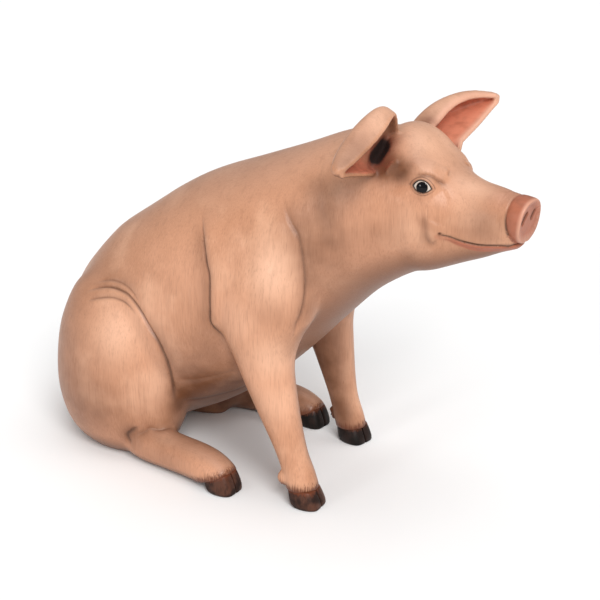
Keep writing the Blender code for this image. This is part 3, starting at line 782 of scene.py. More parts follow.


# Each ear's black hollow, painted shade deep in the ear: its line on the skin, and how wide the black
# and the pit are
earHoles = {
    "right": {"path": ((0.2110, -0.0840, 0.7500), (0.2140, -0.0760, 0.7575), (0.2170, -0.0690, 0.7640)),
              "radius": 0.0215, "rootEnd": 0.130},
    "left": {"path": ((0.2380, 0.0900, 0.7600), (0.2350, 0.0800, 0.7750)), "radius": 0.0120, "rootEnd": 0.115},
    "halo": 0.44, "depth": 0.010, "width": 0.011, "into": (-0.2, -0.95, -0.2),
}


def pressEarHole(body, word):
    rows, d, *_ = body.beside(smoothPath(earHoles[word]["path"], 4), 0.04)
    into = onSide(earHoles["into"], sides[word])
    body.points[rows] += into * (earHoles["depth"] * bell(d, earHoles["width"]))[:, None]


def eyeAxes(side):
    middle, look = onSide(eye["middle"], side), onSide(eye["look"], side)
    look /= np.linalg.norm(look)
    slit = np.array(eye["slit"])
    slit = slit - look * (slit @ look)
    slit /= np.linalg.norm(slit)
    up = np.cross(look, slit) * side
    return middle, look, slit, up if up[2] > 0 else -up


def lidHeights(x):
    # the upper and lower lid's edge over the slit, at x from -1 to 1 along it
    lean, dip = np.clip(1 - np.abs(x) ** 2.3, 0, 1), np.clip(1 - np.abs(x) ** 2.0, 0, 1)
    return eye["upper"] * lean ** 0.85 * (1 - 0.10 * x), -eye["lower"] * dip


def lidDistance(flat):
    # signed distance to the opening's edge, below 0 inside, and whether it is on the upper lid
    x = np.cos(np.linspace(0, math.pi, 40))
    top, bottom = lidHeights(x)
    edge = np.concatenate([np.column_stack([x * eye["halfLength"], top]),
                           np.column_stack([x * eye["halfLength"], bottom])[::-1][1:]])
    d = nearest(np.pad(flat, ((0, 0), (0, 1))), np.pad(edge, ((0, 0), (0, 1))))[0]
    top, bottom = lidHeights(flat[:, 0] / eye["halfLength"])
    inside = (flat[:, 1] < top) & (flat[:, 1] > bottom) & (np.abs(flat[:, 0]) < eye["halfLength"])
    return np.where(inside, -d, d), flat[:, 1] > 0


def lidFrame(body, side):
    # the points before an eye as rays from its middle, with their distance to the lids' edge
    middle, look, slit, up = eyeAxes(side)
    rows = body.near(middle[None], 0.055)
    ray = body.points[rows] - middle
    far = np.linalg.norm(ray, axis=1)
    unit = ray / far[:, None]
    keep = unit @ look > 0.25
    rows, far, unit = rows[keep], far[keep], unit[keep]
    flat = np.column_stack([unit @ slit, unit @ up]) * eye["radius"]
    return rows, far, unit, middle, *lidDistance(flat)


# Each fold of the lids: depth or height, distance from the edge, width
lidFolds = {
    "upper": (0.0015, eye["crease"], 0.0011), "lower": (0.0009, 0.0050, 0.0011), "bag": (0.0012, 0.0105, 0.0018),
    "puff": (0.0010, 0.0028, 0.0018),
}


def pressLids(body, side):
    rows, far, unit, middle, d, upper = lidFrame(body, side)
    round_ = np.clip(1 - np.clip(d, 0, None) / eye["lidEdge"], 0, 1)
    lid = eye["radius"] + eye["lidThick"] * np.sqrt(1 - round_ ** 2)
    over, first, second, puff = (depth * bell(d - place, width) for depth, place, width in lidFolds.values())
    crease = np.where(upper, over, first + second)
    blend = smoothStep(d, eye["lidStart"], eye["lidEnd"])
    out = (lid + puff) * (1 - blend) + np.maximum(far, eye["radius"] * 0.9) * blend - crease
    out = np.where(d > eye["lidEdge"], np.maximum(out, eye["radius"] + 0.0012), out)
    out = np.where(d < 0, eye["radius"] - 0.004 * smoothStep(-d, 0, 0.0006), out)
    body.points[rows] = middle + unit * out[:, None]


bm = bmesh.new()
bm.from_mesh(skin.data)
trimFeet(bm)
foldLines = layFolds(Skin(skin.data))
spots = {
    "eye": [axes[0] + axes[1] * eye["radius"] for axes in map(eyeAxes, sides.values())],
    "mouth": throughMouth(),
    "fold": [p for (name, word), line in foldLines.items() for p in line if folds[name]["line"][0] > 0],
    "plate": [snoutPlace().translation],
    "nostril": [p for word in sides for p in nostrilPath(word)],
}
spots = {name: [Vector(p) for p in points] for name, points in spots.items()}
# How far round its spots each detail's skin is halved, in turn
halvings = [("eye", 0.038), ("mouth", 0.011), ("fold", 0.0075), ("plate", 0.062), ("nostril", 0.011), ("eye", 0.032)]
halvings += [("mouth", 0.0065)]
for name, reach in halvings:
    refine(bm, spots[name], reach)
detail = [v for v in bm.verts if v.co.x > 0.25]
for _ in range(2):
    smoothPoints(bm, detail, 0.4)
bm.to_mesh(skin.data)
bm.free()
body = Skin(skin.data)
for word in sides:
    for name in folds:
        pressFold(body, name, word)
for press in (pressPlate, pressMuzzle, pressMouth):
    body.write()
    press(body)
for word, side in sides.items():
    pressNostril(body, word)
    pressEarHole(body, word)
    pressLids(body, side)
body.points[:, 2] = np.maximum(body.points[:, 2], 0)
body.write()
print("skin shaped", body.count)


# How much of the skin is kept where: the nearer to 1, the more it is thinned
thinning = {
    "plain": 0.81, "feet": 0.72, "ears": 0.62, "tail": 0.50, "folds": 0.50, "face": 0.46,
    "feetTop": 0.12, "earsOut": 0.09, "earsUp": 0.71, "tailFrom": -0.545, "faceFrom": 0.29, "foldReach": 0.008,
    "foldedOver": math.radians(100), "chin": 0.5, "tiny": 0.00002, "rounds": 4, "unfold": 0.6,
}


def thinned(body):
    # a weight for each point, by what it is part of
    x, y, z = body.points.T
    share = np.full(body.count, thinning["plain"])
    share[z < thinning["feetTop"]] = thinning["feet"]
    share[(np.abs(y) > thinning["earsOut"]) & (z > thinning["earsUp"])] = thinning["ears"]
    share[x < thinning["tailFrom"]] = thinning["tail"]
    for spot in spots["fold"]:
        gap = body.points - np.array(spot)
        share[rowDot(gap, gap) < thinning["foldReach"] ** 2] = thinning["folds"]
    share[x > thinning["faceFrom"]] = thinning["face"]
    return share


def unfold(mesh):
    # thinning folds a few faces over, which show as specks
    bm = bmesh.new()
    bm.from_mesh(mesh)
    bmesh.ops.dissolve_degenerate(bm, edges=bm.edges[:], dist=thinning["tiny"])
    for _ in range(thinning["rounds"]):
        folded = [e for e in bm.edges if len(e.link_faces) == 2 and e.calc_face_angle(0) > thinning["foldedOver"]]
        verts = unique(v for e in folded for v in e.verts
                       if v.co.x <= thinning["faceFrom"] or v.co.z <= thinning["chin"])
        smoothPoints(bm, verts, thinning["unfold"])
    bm.to_mesh(mesh)
    bm.free()


group = skin.vertex_groups.new(name="thin")
share = thinned(body)
for level in np.unique(share):
    group.add(np.where(share == level)[0].tolist(), float(level), "REPLACE")
thin = skin.modifiers.new("thin", "DECIMATE")
thin.ratio = min(1.0, flesh["triangles"] / sum(len(p.vertices) - 2 for p in skin.data.polygons))
thin.vertex_group = "thin"
bakeModifiers(skin)
skin.vertex_groups.clear()
unfold(skin.data)
print("skin thinned", len(skin.data.polygons))


def addPaint(mesh, name, values):
    # where a paint lies is kept on the mesh as an attribute
    made = mesh.attributes.new(name, "FLOAT", "POINT")
    made.data.foreach_set("value", np.clip(values, 0, 1).astype(np.float32))


def acrossSkin(normals, gap):
    # a gap's length along the skin, leaving out how deep a groove is pressed
    return np.linalg.norm(gap - rowDot(gap, normals)[:, None] * normals, axis=1)


# Soft brown patches, on both sides of the statue, partly airbrushed brown and partly painted shade
# under the belly, chin and thighs, at the rump's edge and round the ears: x, y, z, radius, strength
brownAndShadeSpots = {
    "temple": (0.264, 0.089, 0.731, 0.023, 1.35),
    "besideBrow": (0.282, 0.084, 0.740, 0.016, 0.50),
    "browSide": (0.300, 0.062, 0.758, 0.024, 0.22),
    "eyeCorner": (0.350, 0.062, 0.712, 0.010, 0.30),
    "underEye": (0.313, 0.094, 0.689, 0.014, 0.16),
    "earRoot": (0.222, 0.092, 0.726, 0.025, 1.10),
    "earRim": (0.232, 0.064, 0.800, 0.022, 0.85),
    "earFront": (0.242, 0.084, 0.748, 0.020, 0.60),
    "earBack": (0.254, 0.214, 0.797, 0.030, 0.42),
    "earBackTip": (0.250, 0.246, 0.775, 0.022, 0.40),
    "underShoulder": (0.045, 0.188, 0.425, 0.036, 0.24),
    "underEar": (0.190, 0.125, 0.690, 0.030, 0.30),
    "jowl": (0.239, 0.113, 0.606, 0.038, 0.34),
    "muzzleSide": (0.425, 0.056, 0.640, 0.050, 0.52),
    "neckSide": (0.145, 0.142, 0.570, 0.070, 0.42),
    "neckTop": (0.130, 0.120, 0.670, 0.055, 0.28),
    "throat": (0.160, 0.090, 0.480, 0.075, 0.50),
    "underChin": (0.300, 0.0, 0.525, 0.110, 0.28),
    "elbowBack": (-0.120, 0.185, 0.310, 0.055, 0.40),
    "flankBelly": (-0.180, 0.170, 0.235, 0.070, 0.52),
    "lowBelly": (-0.150, 0.085, 0.165, 0.100, 1.60),
    "bellyEdge": (-0.190, 0.100, 0.145, 0.050, 1.20),
    "underThigh": (-0.290, 0.112, 0.042, 0.060, 1.40),
    "groin": (-0.222, 0.135, 0.140, 0.040, 1.20),
    "rumpEdge": (-0.500, 0.190, 0.140, 0.130, 0.62),
    "rump": (-0.510, 0.200, 0.300, 0.090, 0.40),
    "rumpTop": (-0.470, 0.140, 0.405, 0.090, 0.30),
    "thighLow": (-0.330, 0.215, 0.130, 0.060, 0.18),
    "thighUnder": (-0.410, 0.237, 0.120, 0.075, 0.50),
    "hock": (-0.322, 0.214, 0.058, 0.030, 0.50),
    "foot": (-0.230, 0.222, 0.052, 0.070, 0.36),
    "back": (-0.240, 0.060, 0.640, 0.110, 0.12),
    "withers": (-0.060, 0.080, 0.680, 0.080, 0.12),
}
# Pale patches, where the flesh swells, partly lighter paint and partly a painted highlight on the
# swelling forms, in the same terms
paleAndHighlightSpots = {
    "shoulder": (0.045, 0.186, 0.510, 0.060, 0.80),
    "upperArm": (-0.020, 0.200, 0.400, 0.045, 0.25),
    "forearm": (0.042, 0.188, 0.330, 0.050, 0.60),
    "shin": (0.045, 0.180, 0.230, 0.050, 0.40),
    "thigh": (-0.355, 0.212, 0.300, 0.065, 0.60),
    "thighFront": (-0.270, 0.200, 0.200, 0.050, 0.35),
    "cheek": (0.300, 0.100, 0.645, 0.035, 0.20),
    "earCrest": (0.236, 0.110, 0.842, 0.032, 0.35),
    "earRoll": (0.252, 0.150, 0.830, 0.022, 0.30),
    "forehead": (0.290, 0.030, 0.775, 0.050, 0.42),
    "muzzleTop": (0.395, 0.030, 0.702, 0.036, 0.50),
}
innerLegShade = 0.85   # painted shade, brown, between the legs


def brushAndShadePaint(body):
    # the soft brown round folds, in hollows and in patches: partly airbrushed brown, partly painted shade
    # in creases and hollows and under the body
    brushAndShade = np.zeros(body.count)
    for word, side in sides.items():
        for name, fold in folds.items():
            strength, width, fuller = fold["brushAndShade"]
            rows, d, share, gap, along = body.beside(foldLines[name, word], 2.5 * width)
            hand = body.hand(rows, d, gap, along) * -side
            reach = width * (1 + 0.45 * fuller * np.clip(hand, -1, 1))
            fade = smoothStep(share, 0, 0.25) * smoothStep(1 - share, 0, 0.25)
            brushAndShade[rows] = np.maximum(brushAndShade[rows], strength * bell(d, reach, 1.5) * fade)
        # patches of brown, partly painted shade
        for *spot, radius, strength in brownAndShadeSpots.values():
            brushAndShade += (1 - np.clip(brushAndShade, 0, 1)) * strength * bell(distances(body.points, spot, side), radius)
        # painted shade: brown on the inner sides of the legs
        y, z = body.points[:, 1] * side, body.points[:, 2]
        inner = np.clip(-body.normals[:, 1] * side, 0, 1) * smoothStep(y, 0.02, 0.06) * smoothStep(z, 0.40, 0.24)
        brushAndShade = np.maximum(brushAndShade, innerLegShade * inner)
    return brushAndShade


def paleAndHighlightPaint(body):
    # pale patches, partly a painted highlight on the swelling forms
    paleAndHighlight = np.zeros(body.count)
    for side in sides.values():
        for *spot, radius, strength in paleAndHighlightSpots.values():
            paleAndHighlight = np.maximum(paleAndHighlight, strength * bell(distances(body.points, spot, side), radius))
    return paleAndHighlight


def lineShadePaint(body):
    # painted shade: the fine brown line in each fold's crease, and the shade in the groove behind the
    # nose plate and low on its side
    dark = np.zeros(body.count)
    for (name, word), path in foldLines.items():
        strength, width = folds[name]["line"]
        rows, d, share, gap, along = body.beside(path, 0.012)
        d = np.where(d < 0.010, acrossSkin(body.broad[rows], gap), d)
        fade = smoothStep(share, 0.05, 0.35) * smoothStep(1 - share, 0, 0.25)
        dark[rows] = np.maximum(dark[rows], strength * bell(d, width) * fade)
    along, size, turns, height = inPlate(body.points)
    behind = grooveAt(height) - along
    low = smoothStep(height, 0.030, -0.010)
    ring = bell(behind - 0.0004, 0.0021) * (size < 1.06) * (0.15 + 0.75 * low)
    dark = np.maximum(dark, ring * (np.abs(size - 0.9) < 0.25))
    band = smoothStep(along, 0.008, -0.012) * smoothStep(behind, 0.002, -0.002) * smoothStep(height, 0.030, -0.020)
    return np.maximum(dark, 0.26 * band * (size < 1.1))


def darkPaint(body):
    # the near-black: painted shade in the mouth's gap and corners, in the nostrils and in the upper lid's
    # crease, and the lids' own painted dark outline
    dark = np.zeros(body.count)
    path = throughMouth()
    rows, d, share, gap, along = body.beside(path, 0.02)
    d = np.where(d < 0.010, acrossSkin(body.broad[rows], gap), d)
    dark[rows] = 0.85 * bell(d, mouth["mouthShadeWidth"])
    for end in (path[0], path[-1]):
        dark = np.maximum(dark, bell(distances(body.points, end), mouth["cornerShade"]))
    for word, side in sides.items():
        rows, d, axis = roundNostril(body, word, -0.004)
        dark[rows] = np.maximum(dark[rows], bell(d, 1.30 * nostrils["width"], 4))
        rows, far, unit, middle, d, upper = lidFrame(body, side)
        line = bell(np.clip(d, 0, None), np.where(upper, 0.0016, 0.0010))
        crease = 0.55 * upper * bell(d - eye["crease"], 0.0008)
        dark[rows] = np.maximum(dark[rows], np.maximum(line, crease))
    return dark


def earPaint(body):
    # 1 where the skin faces the hollow of an ear; and painted shade for how deep in the ear that is,
    # black in its hollow, with a halo round it that is partly red-brown paint
    inside, depth = np.zeros(body.count), np.zeros(body.count)
    for word, side in sides.items():
        axis = smoothPath(onSide(ears[word], side).mean(axis=0), 6)
        rows, d, share, gap, along = body.beside(axis, 0.07)
        facing = -rowDot(gap, body.normals[rows]) / np.maximum(d, 1e-6)
        out = np.abs(body.points[rows, 1])
        held = smoothStep(facing, 0.10, 0.45) * smoothStep(out, 0.080, 0.098) * smoothStep(0.07 - d, 0, 0.01)
        inside[rows] = np.maximum(inside[rows], held)
        root = smoothStep(out, earHoles[word]["rootEnd"], 0.095)
        depth[rows] = np.maximum(depth[rows], 0.40 * held * root)
        rows, d, *_ = body.beside(smoothPath(earHoles[word]["path"], 4), 0.08)
        black = bell(d, earHoles[word]["radius"], 2.5)
        halo = earHoles["halo"] * bell(d, 1.9 * earHoles[word]["radius"])
        depth[rows] = np.maximum(depth[rows], np.maximum(black, halo))
    return inside, depth


def rimHighlightPaint(body):
    # a painted highlight along the edge of the nose plate's face, and along the rims of the upright ear
    along, size, turns, height = inPlate(body.points)
    rim = 0.65 * bell(size - 0.955, 0.045) * smoothStep(along, 0.006, 0.012) * (size < 1.1)
    for rail in (ears["left"][0], ears["left"][3]):
        rows, d, *_ = body.beside(smoothPath(rail, 6), 0.02)
        rim[rows] = np.maximum(rim[rows], 0.75 * bell(d, 0.0085, 4))
    return rim


def pinkPaint(body):
    # nose plate, a blush behind it, and the lower lip, widest in front
    along, size, turns, height = inPlate(body.points)
    ahead = along - grooveAt(height)
    plate = smoothStep(ahead, -0.001, 0.0015) * (size < 1.07) * smoothStep(along, -0.03, -0.02)
    pink = np.maximum(plate, 0.35 * smoothStep(ahead, -0.060, -0.004) * smoothStep(height, 0.0, 0.045))
    rows, d, share, gap, along = body.beside(throughMouth(), mouth["reach"])
    fromEnd = np.minimum(share, 1 - share)
    reach = mouth["lipBand"] + (mouth["frontBand"] - mouth["lipBand"]) * smoothStep(fromEnd, 0.05, 0.40)
    below = smoothStep(body.hand(rows, d, gap, along), 0, 0.3)
    band = below * smoothStep(reach - d, 0, 0.004) * (0.35 + 0.65 * smoothStep(fromEnd, 0, 0.12))
    pink[rows] = np.maximum(pink[rows], band)
    return pink


def coronetPaint(body):
    # rises from 0 to 1 down to the top of each claw
    near = np.zeros(body.count)
    for word in sides:
        for fore, tilt in ((True, 0.0), (False, claw["tilt"])):
            place = footPlace(word, fore)
            top = np.array(place @ Vector((0, 0, claw["height"])))
            up = np.array(place.to_3x3() @ Vector((-math.sin(tilt), 0, math.cos(tilt))))
            gap = body.points - top
            here = np.linalg.norm(gap, axis=1) < 0.09
            near = np.maximum(near, here * np.clip(1 - gap @ up / 0.045, 0, 1))
    return near


body = Skin(skin.data)
body.broad = neighbourMean(skin.data, body.normals, 16)
body.broad /= np.linalg.norm(body.broad, axis=1)[:, None]
paints = {"brushAndShade": brushAndShadePaint, "line": lineShadePaint, "dark": darkPaint, "pink": pinkPaint, "paleAndHighlight": paleAndHighlightPaint,
          "rim": rimHighlightPaint, "coronet": coronetPaint}
for name, lay in paints.items():
    addPaint(skin.data, name, lay(body))
for name, values in zip(("earInside", "earHollowShade"), earPaint(body)):
    addPaint(skin.data, name, values)
print("paint laid out")


class Paintwork:
    # a material built up in coats, from a dictionary of values
    def __init__(self, name, paint, colours):
        self.made, self.paint = bpy.data.materials.new(name), paint
        self.made.use_nodes = True
        self.tree = self.made.node_tree
        self.shader = self.tree.nodes["Principled BSDF"]
        self.shader.inputs["Specular IOR Level"].default_value = paint["specular"]
        self.shader.inputs["Roughness"].default_value = paint["roughness"]
        self.colours = {key: (*value, 1) for key, value in colours.items()}
        self.parts = {}
        coords = self.node("ShaderNodeTexCoord").outputs["Object"]
        for key, (*scales, detail) in paint["noises"].items():
            place = self.node("ShaderNodeMapping", {"Vector": coords, "Scale": scales})
            inputs = {"Vector": place.outputs[0], "Scale": 1.0, "Detail": detail}
            self.parts[key] = self.node("ShaderNodeTexNoise", inputs).outputs["Fac"]
        for key in paint["reads"]:
            self.parts[key] = self.node("ShaderNodeAttribute", attribute_name=key).outputs["Fac"]

    def node(self, kind, inputs=(), **settings):
        node = self.tree.nodes.new(kind)
        for key, value in settings.items():
            setattr(node, key, value)
        for key, value in dict(inputs).items():
            if isinstance(value, bpy.types.NodeSocket):
                self.tree.links.new(value, node.inputs[key])
            else:
                node.inputs[key].default_value = value
        return node

    def maths(self, kind, a, b):
        return self.node("ShaderNodeMath", {0: a, 1: b}, operation=kind).outputs[0]

    def plus(self, a, b):
        return self.maths("ADD", a, b)

    def times(self, a, b):
        return self.maths("MULTIPLY", a, b)

    def faded(self, value, fade):
        # eases in from one value to another, up to a top; without them the value stays as it is
        if not fade:
            return value
        inputs = dict(zip(("From Min", "From Max", "To Max"), fade), Value=value)
        return self.node("ShaderNodeMapRange", inputs, interpolation_type="SMOOTHSTEP").outputs[0]

    def mixed(self, share, low, high):
        low, high = self.colours.get(low, low), self.colours.get(high, high)
        return self.node("ShaderNodeMix", {0: share, 6: low, 7: high}, data_type="RGBA").outputs[2]

    def coat(self):
        # the base, then coat over coat
        follows, *fade, low, high = self.paint["base"]
        colour = self.mixed(self.faded(self.parts[follows], fade), low, high)
        for follows, *fade, name in self.paint["coats"]:
            colour = self.mixed(self.faded(self.parts[follows], fade), colour, name)
        self.tree.links.new(colour, self.shader.inputs["Base Color"])

    def relief(self, height):
        strength, depth = self.paint["bump"]
        bump = self.node("ShaderNodeBump", {"Height": height, "Strength": strength, "Distance": depth})
        self.tree.links.new(bump.outputs[0], self.shader.inputs["Normal"])


# In every paint:
# "noises" by name, with the scales on the three axes and the detail
# "base", what it follows, from where to where it fades in, how strong it gets, and its two colours
# "coats" in turn, in the same terms with one colour each
# "reads", the attributes that parts are read from
skinPaint = {
    "colours": {
        "peach": (0.630, 0.308, 0.180), "tan": (0.500, 0.232, 0.126), "light": (0.790, 0.440, 0.280),
        # the mauve is painted shade, laid where the skin faces up
        "mauve": (0.490, 0.282, 0.195), "brown": (0.150, 0.056, 0.024), "line": (0.060, 0.022, 0.010),
        # the pale colour is partly a painted highlight on the swelling forms
        "paleAndHighlight": (0.850, 0.500, 0.335), "pink": (0.390, 0.116, 0.060), "pinkShade": (0.230, 0.070, 0.036),
        # the darkest ear colours are painted shade in the ear's hollow, the dark red-brown partly its own paint
        "earPink": (0.700, 0.235, 0.140), "earShade": (0.420, 0.120, 0.065), "earDeep": (0.016, 0.005, 0.003),
        # the near-black is painted shade in the mouth, nostrils and lid crease, and the lids' painted outline
        "earHalo": (0.170, 0.045, 0.024), "rim": (0.740, 0.400, 0.280), "ink": (0.010, 0.005, 0.004),
        "coronet": (0.130, 0.036, 0.013),
    },
    "noises": {
        "upright": (400, 400, 24, 3), "lying": (26, 400, 400, 3), "fine": (520, 520, 40, 2), "broad": (75, 75, 9, 3),
        "large": (6, 6, 6, 3), "patches": (9, 9, 9, 4), "cloudy": (22, 22, 22, 4), "rosy": (34, 34, 34, 4),
        "speckled": (60, 60, 60, 4), "grain": (420, 420, 420, 3),
    },
    "reads": ("brushAndShade", "line", "dark", "pink", "paleAndHighlight", "rim", "earInside", "earHollowShade", "coronet"),
    "base": ("large", 0.36, 0.66, 0.80, "peach", "tan"),
    "coats": (
        # the mauve coat is painted shade where the skin faces up
        ("patches", 0.48, 0.74, 0.60, "light"), ("level", 0.35, 0.95, 0.55, "mauve"), ("paleAndHighlight", "paleAndHighlight"),
        ("broad", 0.50, 0.74, 0.13, "brown"), ("strokes", 0.50, 0.76, 0.22, "brown"),
        ("strokes", 0.48, 0.28, 0.20, "light"), ("fine", 0.60, 0.74, 0.12, "brown"), ("shade", "brown"),
        # the rim coat is a painted highlight along the nose plate's edge and the upright ear's rims
        ("pinkHere", "pinks"), ("rosyHere", "rosy"), ("rim", "rim"),
        # painted shade in the ear: dark red-brown round its hollow, black in it
        ("earShadeCoat", 0.08, 0.46, 0.85, "earHalo"), ("earShadeCoat", 0.36, 0.80, 1.00, "earDeep"),
        ("coronet", 0.55, 1.00, 0.40, "brown"), ("hair", 1.12, 1.48, 1.00, "coronet"),
        # the line coat is painted shade in the folds' creases and behind the nose plate
        ("line", "line"), ("dark", "ink"),
    ),
    # painted shade: the first of these darkens the skin brown as it faces down
    "under": (-0.02, -0.80, 0.85), "cloudy": (0.2, 0.7, 0.30), "brushAndShadeLeast": 0.82,
    "pinks": (0.40, 0.75, 0.45), "rosy": (0.44, 0.74, 0.75), "pinkMost": 0.90, "rosyMost": 0.85,
    "earEdge": (0.3, 0.7, 0.30), "earLeast": 0.88, "layDown": 3.0, "hairStrokes": 0.9,
    "gloss": (0.2, 0.8, 0.14), "deepDull": 0.5, "roughness": 0.35, "specular": 0.4,
    "grainHeight": 0.35, "fineHeight": 0.4, "bump": (0.22, 0.0011),
}


def makeSkin():
    work = Paintwork("paintedSkin", skinPaint, skinPaint["colours"])
    parts, colours, paint = work.parts, work.colours, skinPaint
    normal = work.node("ShaderNodeNewGeometry").outputs["Normal"]
    level = parts["level"] = work.node("ShaderNodeSeparateXYZ", {0: normal}).outputs["Z"]
    # The strokes run down the sides, and lie along the back
    flat = work.maths("POWER", work.maths("ABSOLUTE", level, 0), paint["layDown"])
    strokes = work.node("ShaderNodeMix", {0: flat, 2: parts["upright"], 3: parts["lying"]}).outputs[0]
    # the brushed brown, partly painted shade, broken up by clouds
    brushAndShade = work.times(parts["brushAndShade"], work.plus(work.faded(parts["cloudy"], paint["cloudy"]), paint["brushAndShadeLeast"]))
    ragged = work.plus(work.faded(parts["speckled"], paint["earEdge"]), paint["earLeast"])
    parts["strokes"] = strokes
    # painted shade: brown where the skin faces down, together with the brushed brown
    parts["shade"] = work.maths("MAXIMUM", work.faded(level, paint["under"]), brushAndShade)
    parts["pinkHere"] = work.times(parts["pink"], paint["pinkMost"])
    parts["rosyHere"] = work.times(parts["earInside"], paint["rosyMost"])
    parts["earShadeCoat"] = work.times(parts["earHollowShade"], ragged)
    parts["hair"] = work.plus(parts["coronet"], work.times(strokes, paint["hairStrokes"]))
    colours["pinks"] = work.mixed(work.faded(parts["speckled"], paint["pinks"]), "pink", "pinkShade")
    colours["rosy"] = work.mixed(work.faded(parts["rosy"], paint["rosy"]), "earPink", "earShade")
    work.coat()
    deep = work.maths("MAXIMUM", parts["earHollowShade"], parts["dark"])
    rough = work.plus(work.faded(strokes, paint["gloss"]), work.times(deep, paint["deepDull"]))
    work.tree.links.new(work.plus(rough, paint["roughness"]), work.shader.inputs["Roughness"])
    grain, fine = work.times(parts["grain"], paint["grainHeight"]), work.times(parts["fine"], paint["fineHeight"])
    work.relief(work.plus(strokes, work.plus(grain, fine)))
    return work.made


# The far hooves are a darker copy of the same paint: painted shade
hoofPaint = {
    "right": {"brown": (0.090, 0.036, 0.022), "deep": (0.022, 0.009, 0.006), "hair": (0.140, 0.038, 0.016)},
    "left": {"brown": (0.020, 0.010, 0.008), "deep": (0.006, 0.004, 0.003), "hair": (0.100, 0.028, 0.012)},
    "noises": {"streaks": (330, 330, 22, 4), "cloud": (38, 38, 38, 3)},
    "reads": ("rise",),
    "base": ("cloud", 0.40, 0.66, 1.00, "brown", "deep"),
    "coats": (("streaks", 0.48, 0.72, 0.55, "deep"), ("rise", 0.18, 0.0, 0.6, "deep"),
              ("ragged", 1.00, 1.24, 1.00, "hair")),
    "hairStreaks": 0.5, "gloss": (0.2, 0.8, 0.40), "roughness": 0.26, "specular": 0.18, "bump": (0.4, 0.0010),
}


def makeHoof(word):
    work = Paintwork("paintedHoof_" + word, hoofPaint, hoofPaint[word])
    streaks, cloud = work.parts["streaks"], work.parts["cloud"]
    work.parts["ragged"] = work.plus(work.parts["rise"], work.times(streaks, hoofPaint["hairStreaks"]))
    work.coat()
    rough = work.plus(work.faded(cloud, hoofPaint["gloss"]), hoofPaint["roughness"])
    work.tree.links.new(rough, work.shader.inputs["Roughness"])
    work.relief(streaks)
    return work.made


# The gaze is 1 straight ahead, 0.5 at the iris's edge
eyePaint = {
    "colours": {"white": (0.66, 0.58, 0.50), "rim": (0.22, 0.12, 0.08), "iris": (0.003, 0.003, 0.004)},
    "noises": {"cloud": (260, 260, 260, 3)},
    "reads": ("gaze",),
    "base": ("cloud", 0.5, 0.8, 0.3, "white", "rim"),
    "coats": (("gaze", 0.42, 0.49, 0.55, "rim"), ("gaze", 0.485, 0.515, 1.00, "iris")),
    "roughness": 0.07, "specular": 0.22,
}
floorPaint = {
    "colours": {"dull": (0.95, 0.95, 0.95), "bright": (0.97, 0.97, 0.97)},
    "noises": {"cloud": (3, 3, 3, 3)},
    "reads": (), "base": ("cloud", "dull", "bright"), "coats": (),
    "roughness": 0.9, "specular": 0.1,
}


def makePlain(name, paint):
    work = Paintwork(name, paint, paint["colours"])
    work.coat()
    return work.made


def finish(piece, material, nodes):
    # puts a piece in the frame, paints it, and hides the frame's parts that it takes the place of
    piece.data.transform(Matrix.Translation(offset))
    piece.data.materials.clear()
    piece.data.materials.append(material)
    piece.data.shade_smooth()
    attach(piece, "root")
    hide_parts(*nodes)


fleshNodes = ["head", "neck", "trunk", "tail", "snout"]
fleshNodes += [f"{part}_{word}" for part in ("ear", "foreleg", "thigh", "hindfoot") for word in sides]
finish(skin, makeSkin(), fleshNodes)


eyeMaterial = makePlain("paintedEye", eyePaint)
for word, side in sides.items():
    middle, look, slit, up = eyeAxes(side)
    bm = bmesh.new()
    around, rings = eye["segments"]
    bmesh.ops.create_uvsphere(bm, u_segments=around, v_segments=rings, radius=eye["radius"])
    mesh = toMesh(bm, "eye")
    mesh.transform(Vector((0, 0, 1)).rotation_difference(Vector(look)).to_matrix().to_4x4())
    points = np.array([v.co for v in mesh.vertices])
    angle = np.arccos(np.clip(points @ look / eye["radius"], -1, 1))
    edge = math.asin(eye["iris"] / eye["radius"])
    addPaint(mesh, "gaze", 0.5 + 0.5 * (1 - angle / edge))
    mesh.transform(Matrix.Translation(middle))
    finish(addObject(f"eyeball_{word}", mesh), eyeMaterial, [f"eye_{word}"])
print("eyes made")


# The hooves: share of the height, size of the outline there
clawRows = ((0.0, 0.86), (0.03, 0.925), (0.10, 0.975), (0.25, 1.0), (0.45, 0.99), (0.65, 0.96), (0.85, 0.92),
            (0.95, 0.895), (1.0, 0.86))
horn = {"slit": 0.0007, "tip": 0.0050, "outer": 0.50, "inner": 0.25, "hollow": 0.0006}


def makeClaw(name, place, inner, tilt, material):
    # a half hoof: round outside, flat against its neighbour, with the notch between the two at the toe
    rings = []
    wide = 2 * claw["width"] + claw["cleft"] / 2
    for share, size in clawRows:
        ring = []
        for turn in np.linspace(0, 2 * math.pi, claw["ring"], endpoint=False):
            c, s = math.cos(turn), math.sin(turn)
            if s >= 0:
                y = horn["tip"] + (wide * size - horn["tip"]) * s ** horn["outer"]
            else:
                y = horn["tip"] + (horn["slit"] + horn["hollow"] * share - horn["tip"]) * (-s) ** horn["inner"]
            x = claw["length"] * size * c - claw["rake"] * share
            ring.append(Vector((x, y * inner, (claw["height"] + math.tan(tilt) * x) * share)))
        rings.append(ring)
    bm = bmesh.new()
    loft(bm, rings)
    bmesh.ops.recalc_face_normals(bm, faces=bm.faces)
    mesh = toMesh(bm, name)
    heights = np.array([v.co.z / (claw["height"] + math.tan(tilt) * v.co.x) for v in mesh.vertices])
    addPaint(mesh, "rise", heights)
    mesh.transform(place)
    finish(addObject(name + "_horn", mesh), material, [name])


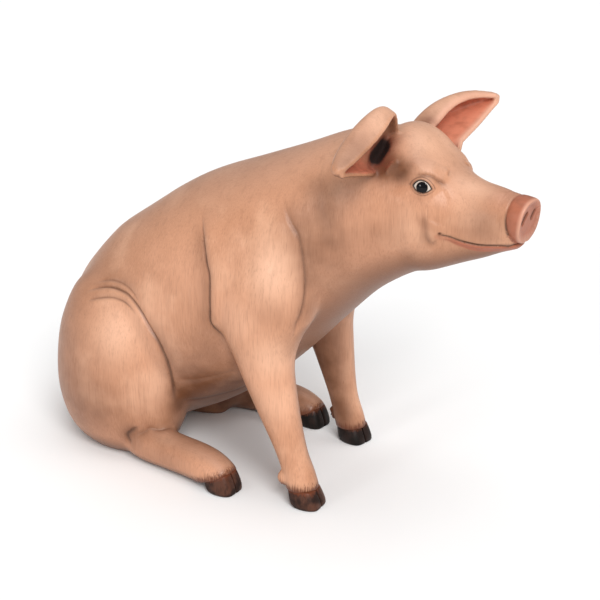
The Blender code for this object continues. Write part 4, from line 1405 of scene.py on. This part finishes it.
for word, side in sides.items():
    hoofMaterial = makeHoof(word)
    for inner, which in ((-side, "inner"), (side, "outer")):
        makeClaw(f"foreclaw_{word}_{which}", footPlace(word, True), inner, 0.0, hoofMaterial)
        makeClaw(f"hindclaw_{word}_{which}", footPlace(word, False), inner, claw["tilt"], hoofMaterial)
print("claws made")


# The floor, the lights and the camera
stage = {"radius": 30.0, "segments": 64, "world": 0.38}
bm = bmesh.new()
bmesh.ops.create_circle(bm, cap_ends=True, segments=stage["segments"], radius=stage["radius"])
floor = addObject("floor", toMesh(bm, "floor"))
floor.data.materials.append(makePlain("paleFloor", floorPaint))

world = bpy.data.worlds.new("studio")
world.use_nodes = True
sky = world.node_tree.nodes["Background"]
sky.inputs["Color"].default_value = (1, 1, 1, 1)
sky.inputs["Strength"].default_value = stage["world"]
bpy.context.scene.world = world

# Each light: the side it comes from, its height in degrees, strength and softness in degrees
lights = {
    "key": {"side": 49, "height": 38, "strength": 2.25, "soft": 30},
    "top": {"side": 110, "height": 76, "strength": 0.80, "soft": 45},
    "glint": {"side": -12, "height": 14, "strength": 0.42, "soft": 11},
}
for name, values in lights.items():
    data = bpy.data.lights.new(name, "SUN")
    data.energy = values["strength"]
    data.angle = math.radians(values["soft"])
    lamp = bpy.data.objects.new(name, data)
    a, e = math.radians(values["side"]), math.radians(values["height"])
    toLamp = Vector((math.sin(a) * math.cos(e), -math.cos(a) * math.cos(e), math.sin(e)))
    lamp.rotation_euler = toLamp.to_track_quat("Z", "Y").to_euler()
    bpy.context.scene.collection.objects.link(lamp)

camera = {"from": (1.5487, -2.2417, 1.4), "at": (0.0, -0.03, 0.4), "lens": 82.92, "sensor": 36, "clip": 100}
data = bpy.data.cameras.new("camera")
data.lens = camera["lens"]
data.sensor_width = camera["sensor"]
data.clip_end = camera["clip"]
shooter = bpy.data.objects.new("camera", data)
shooter.location = Vector(camera["from"]) + offset
aim = Vector(camera["at"]) - Vector(camera["from"])
shooter.rotation_euler = aim.to_track_quat("-Z", "Y").to_euler()
bpy.context.scene.collection.objects.link(shooter)
bpy.context.scene.camera = shooter
bpy.context.scene.view_settings.view_transform = "Standard"
print("stage set")
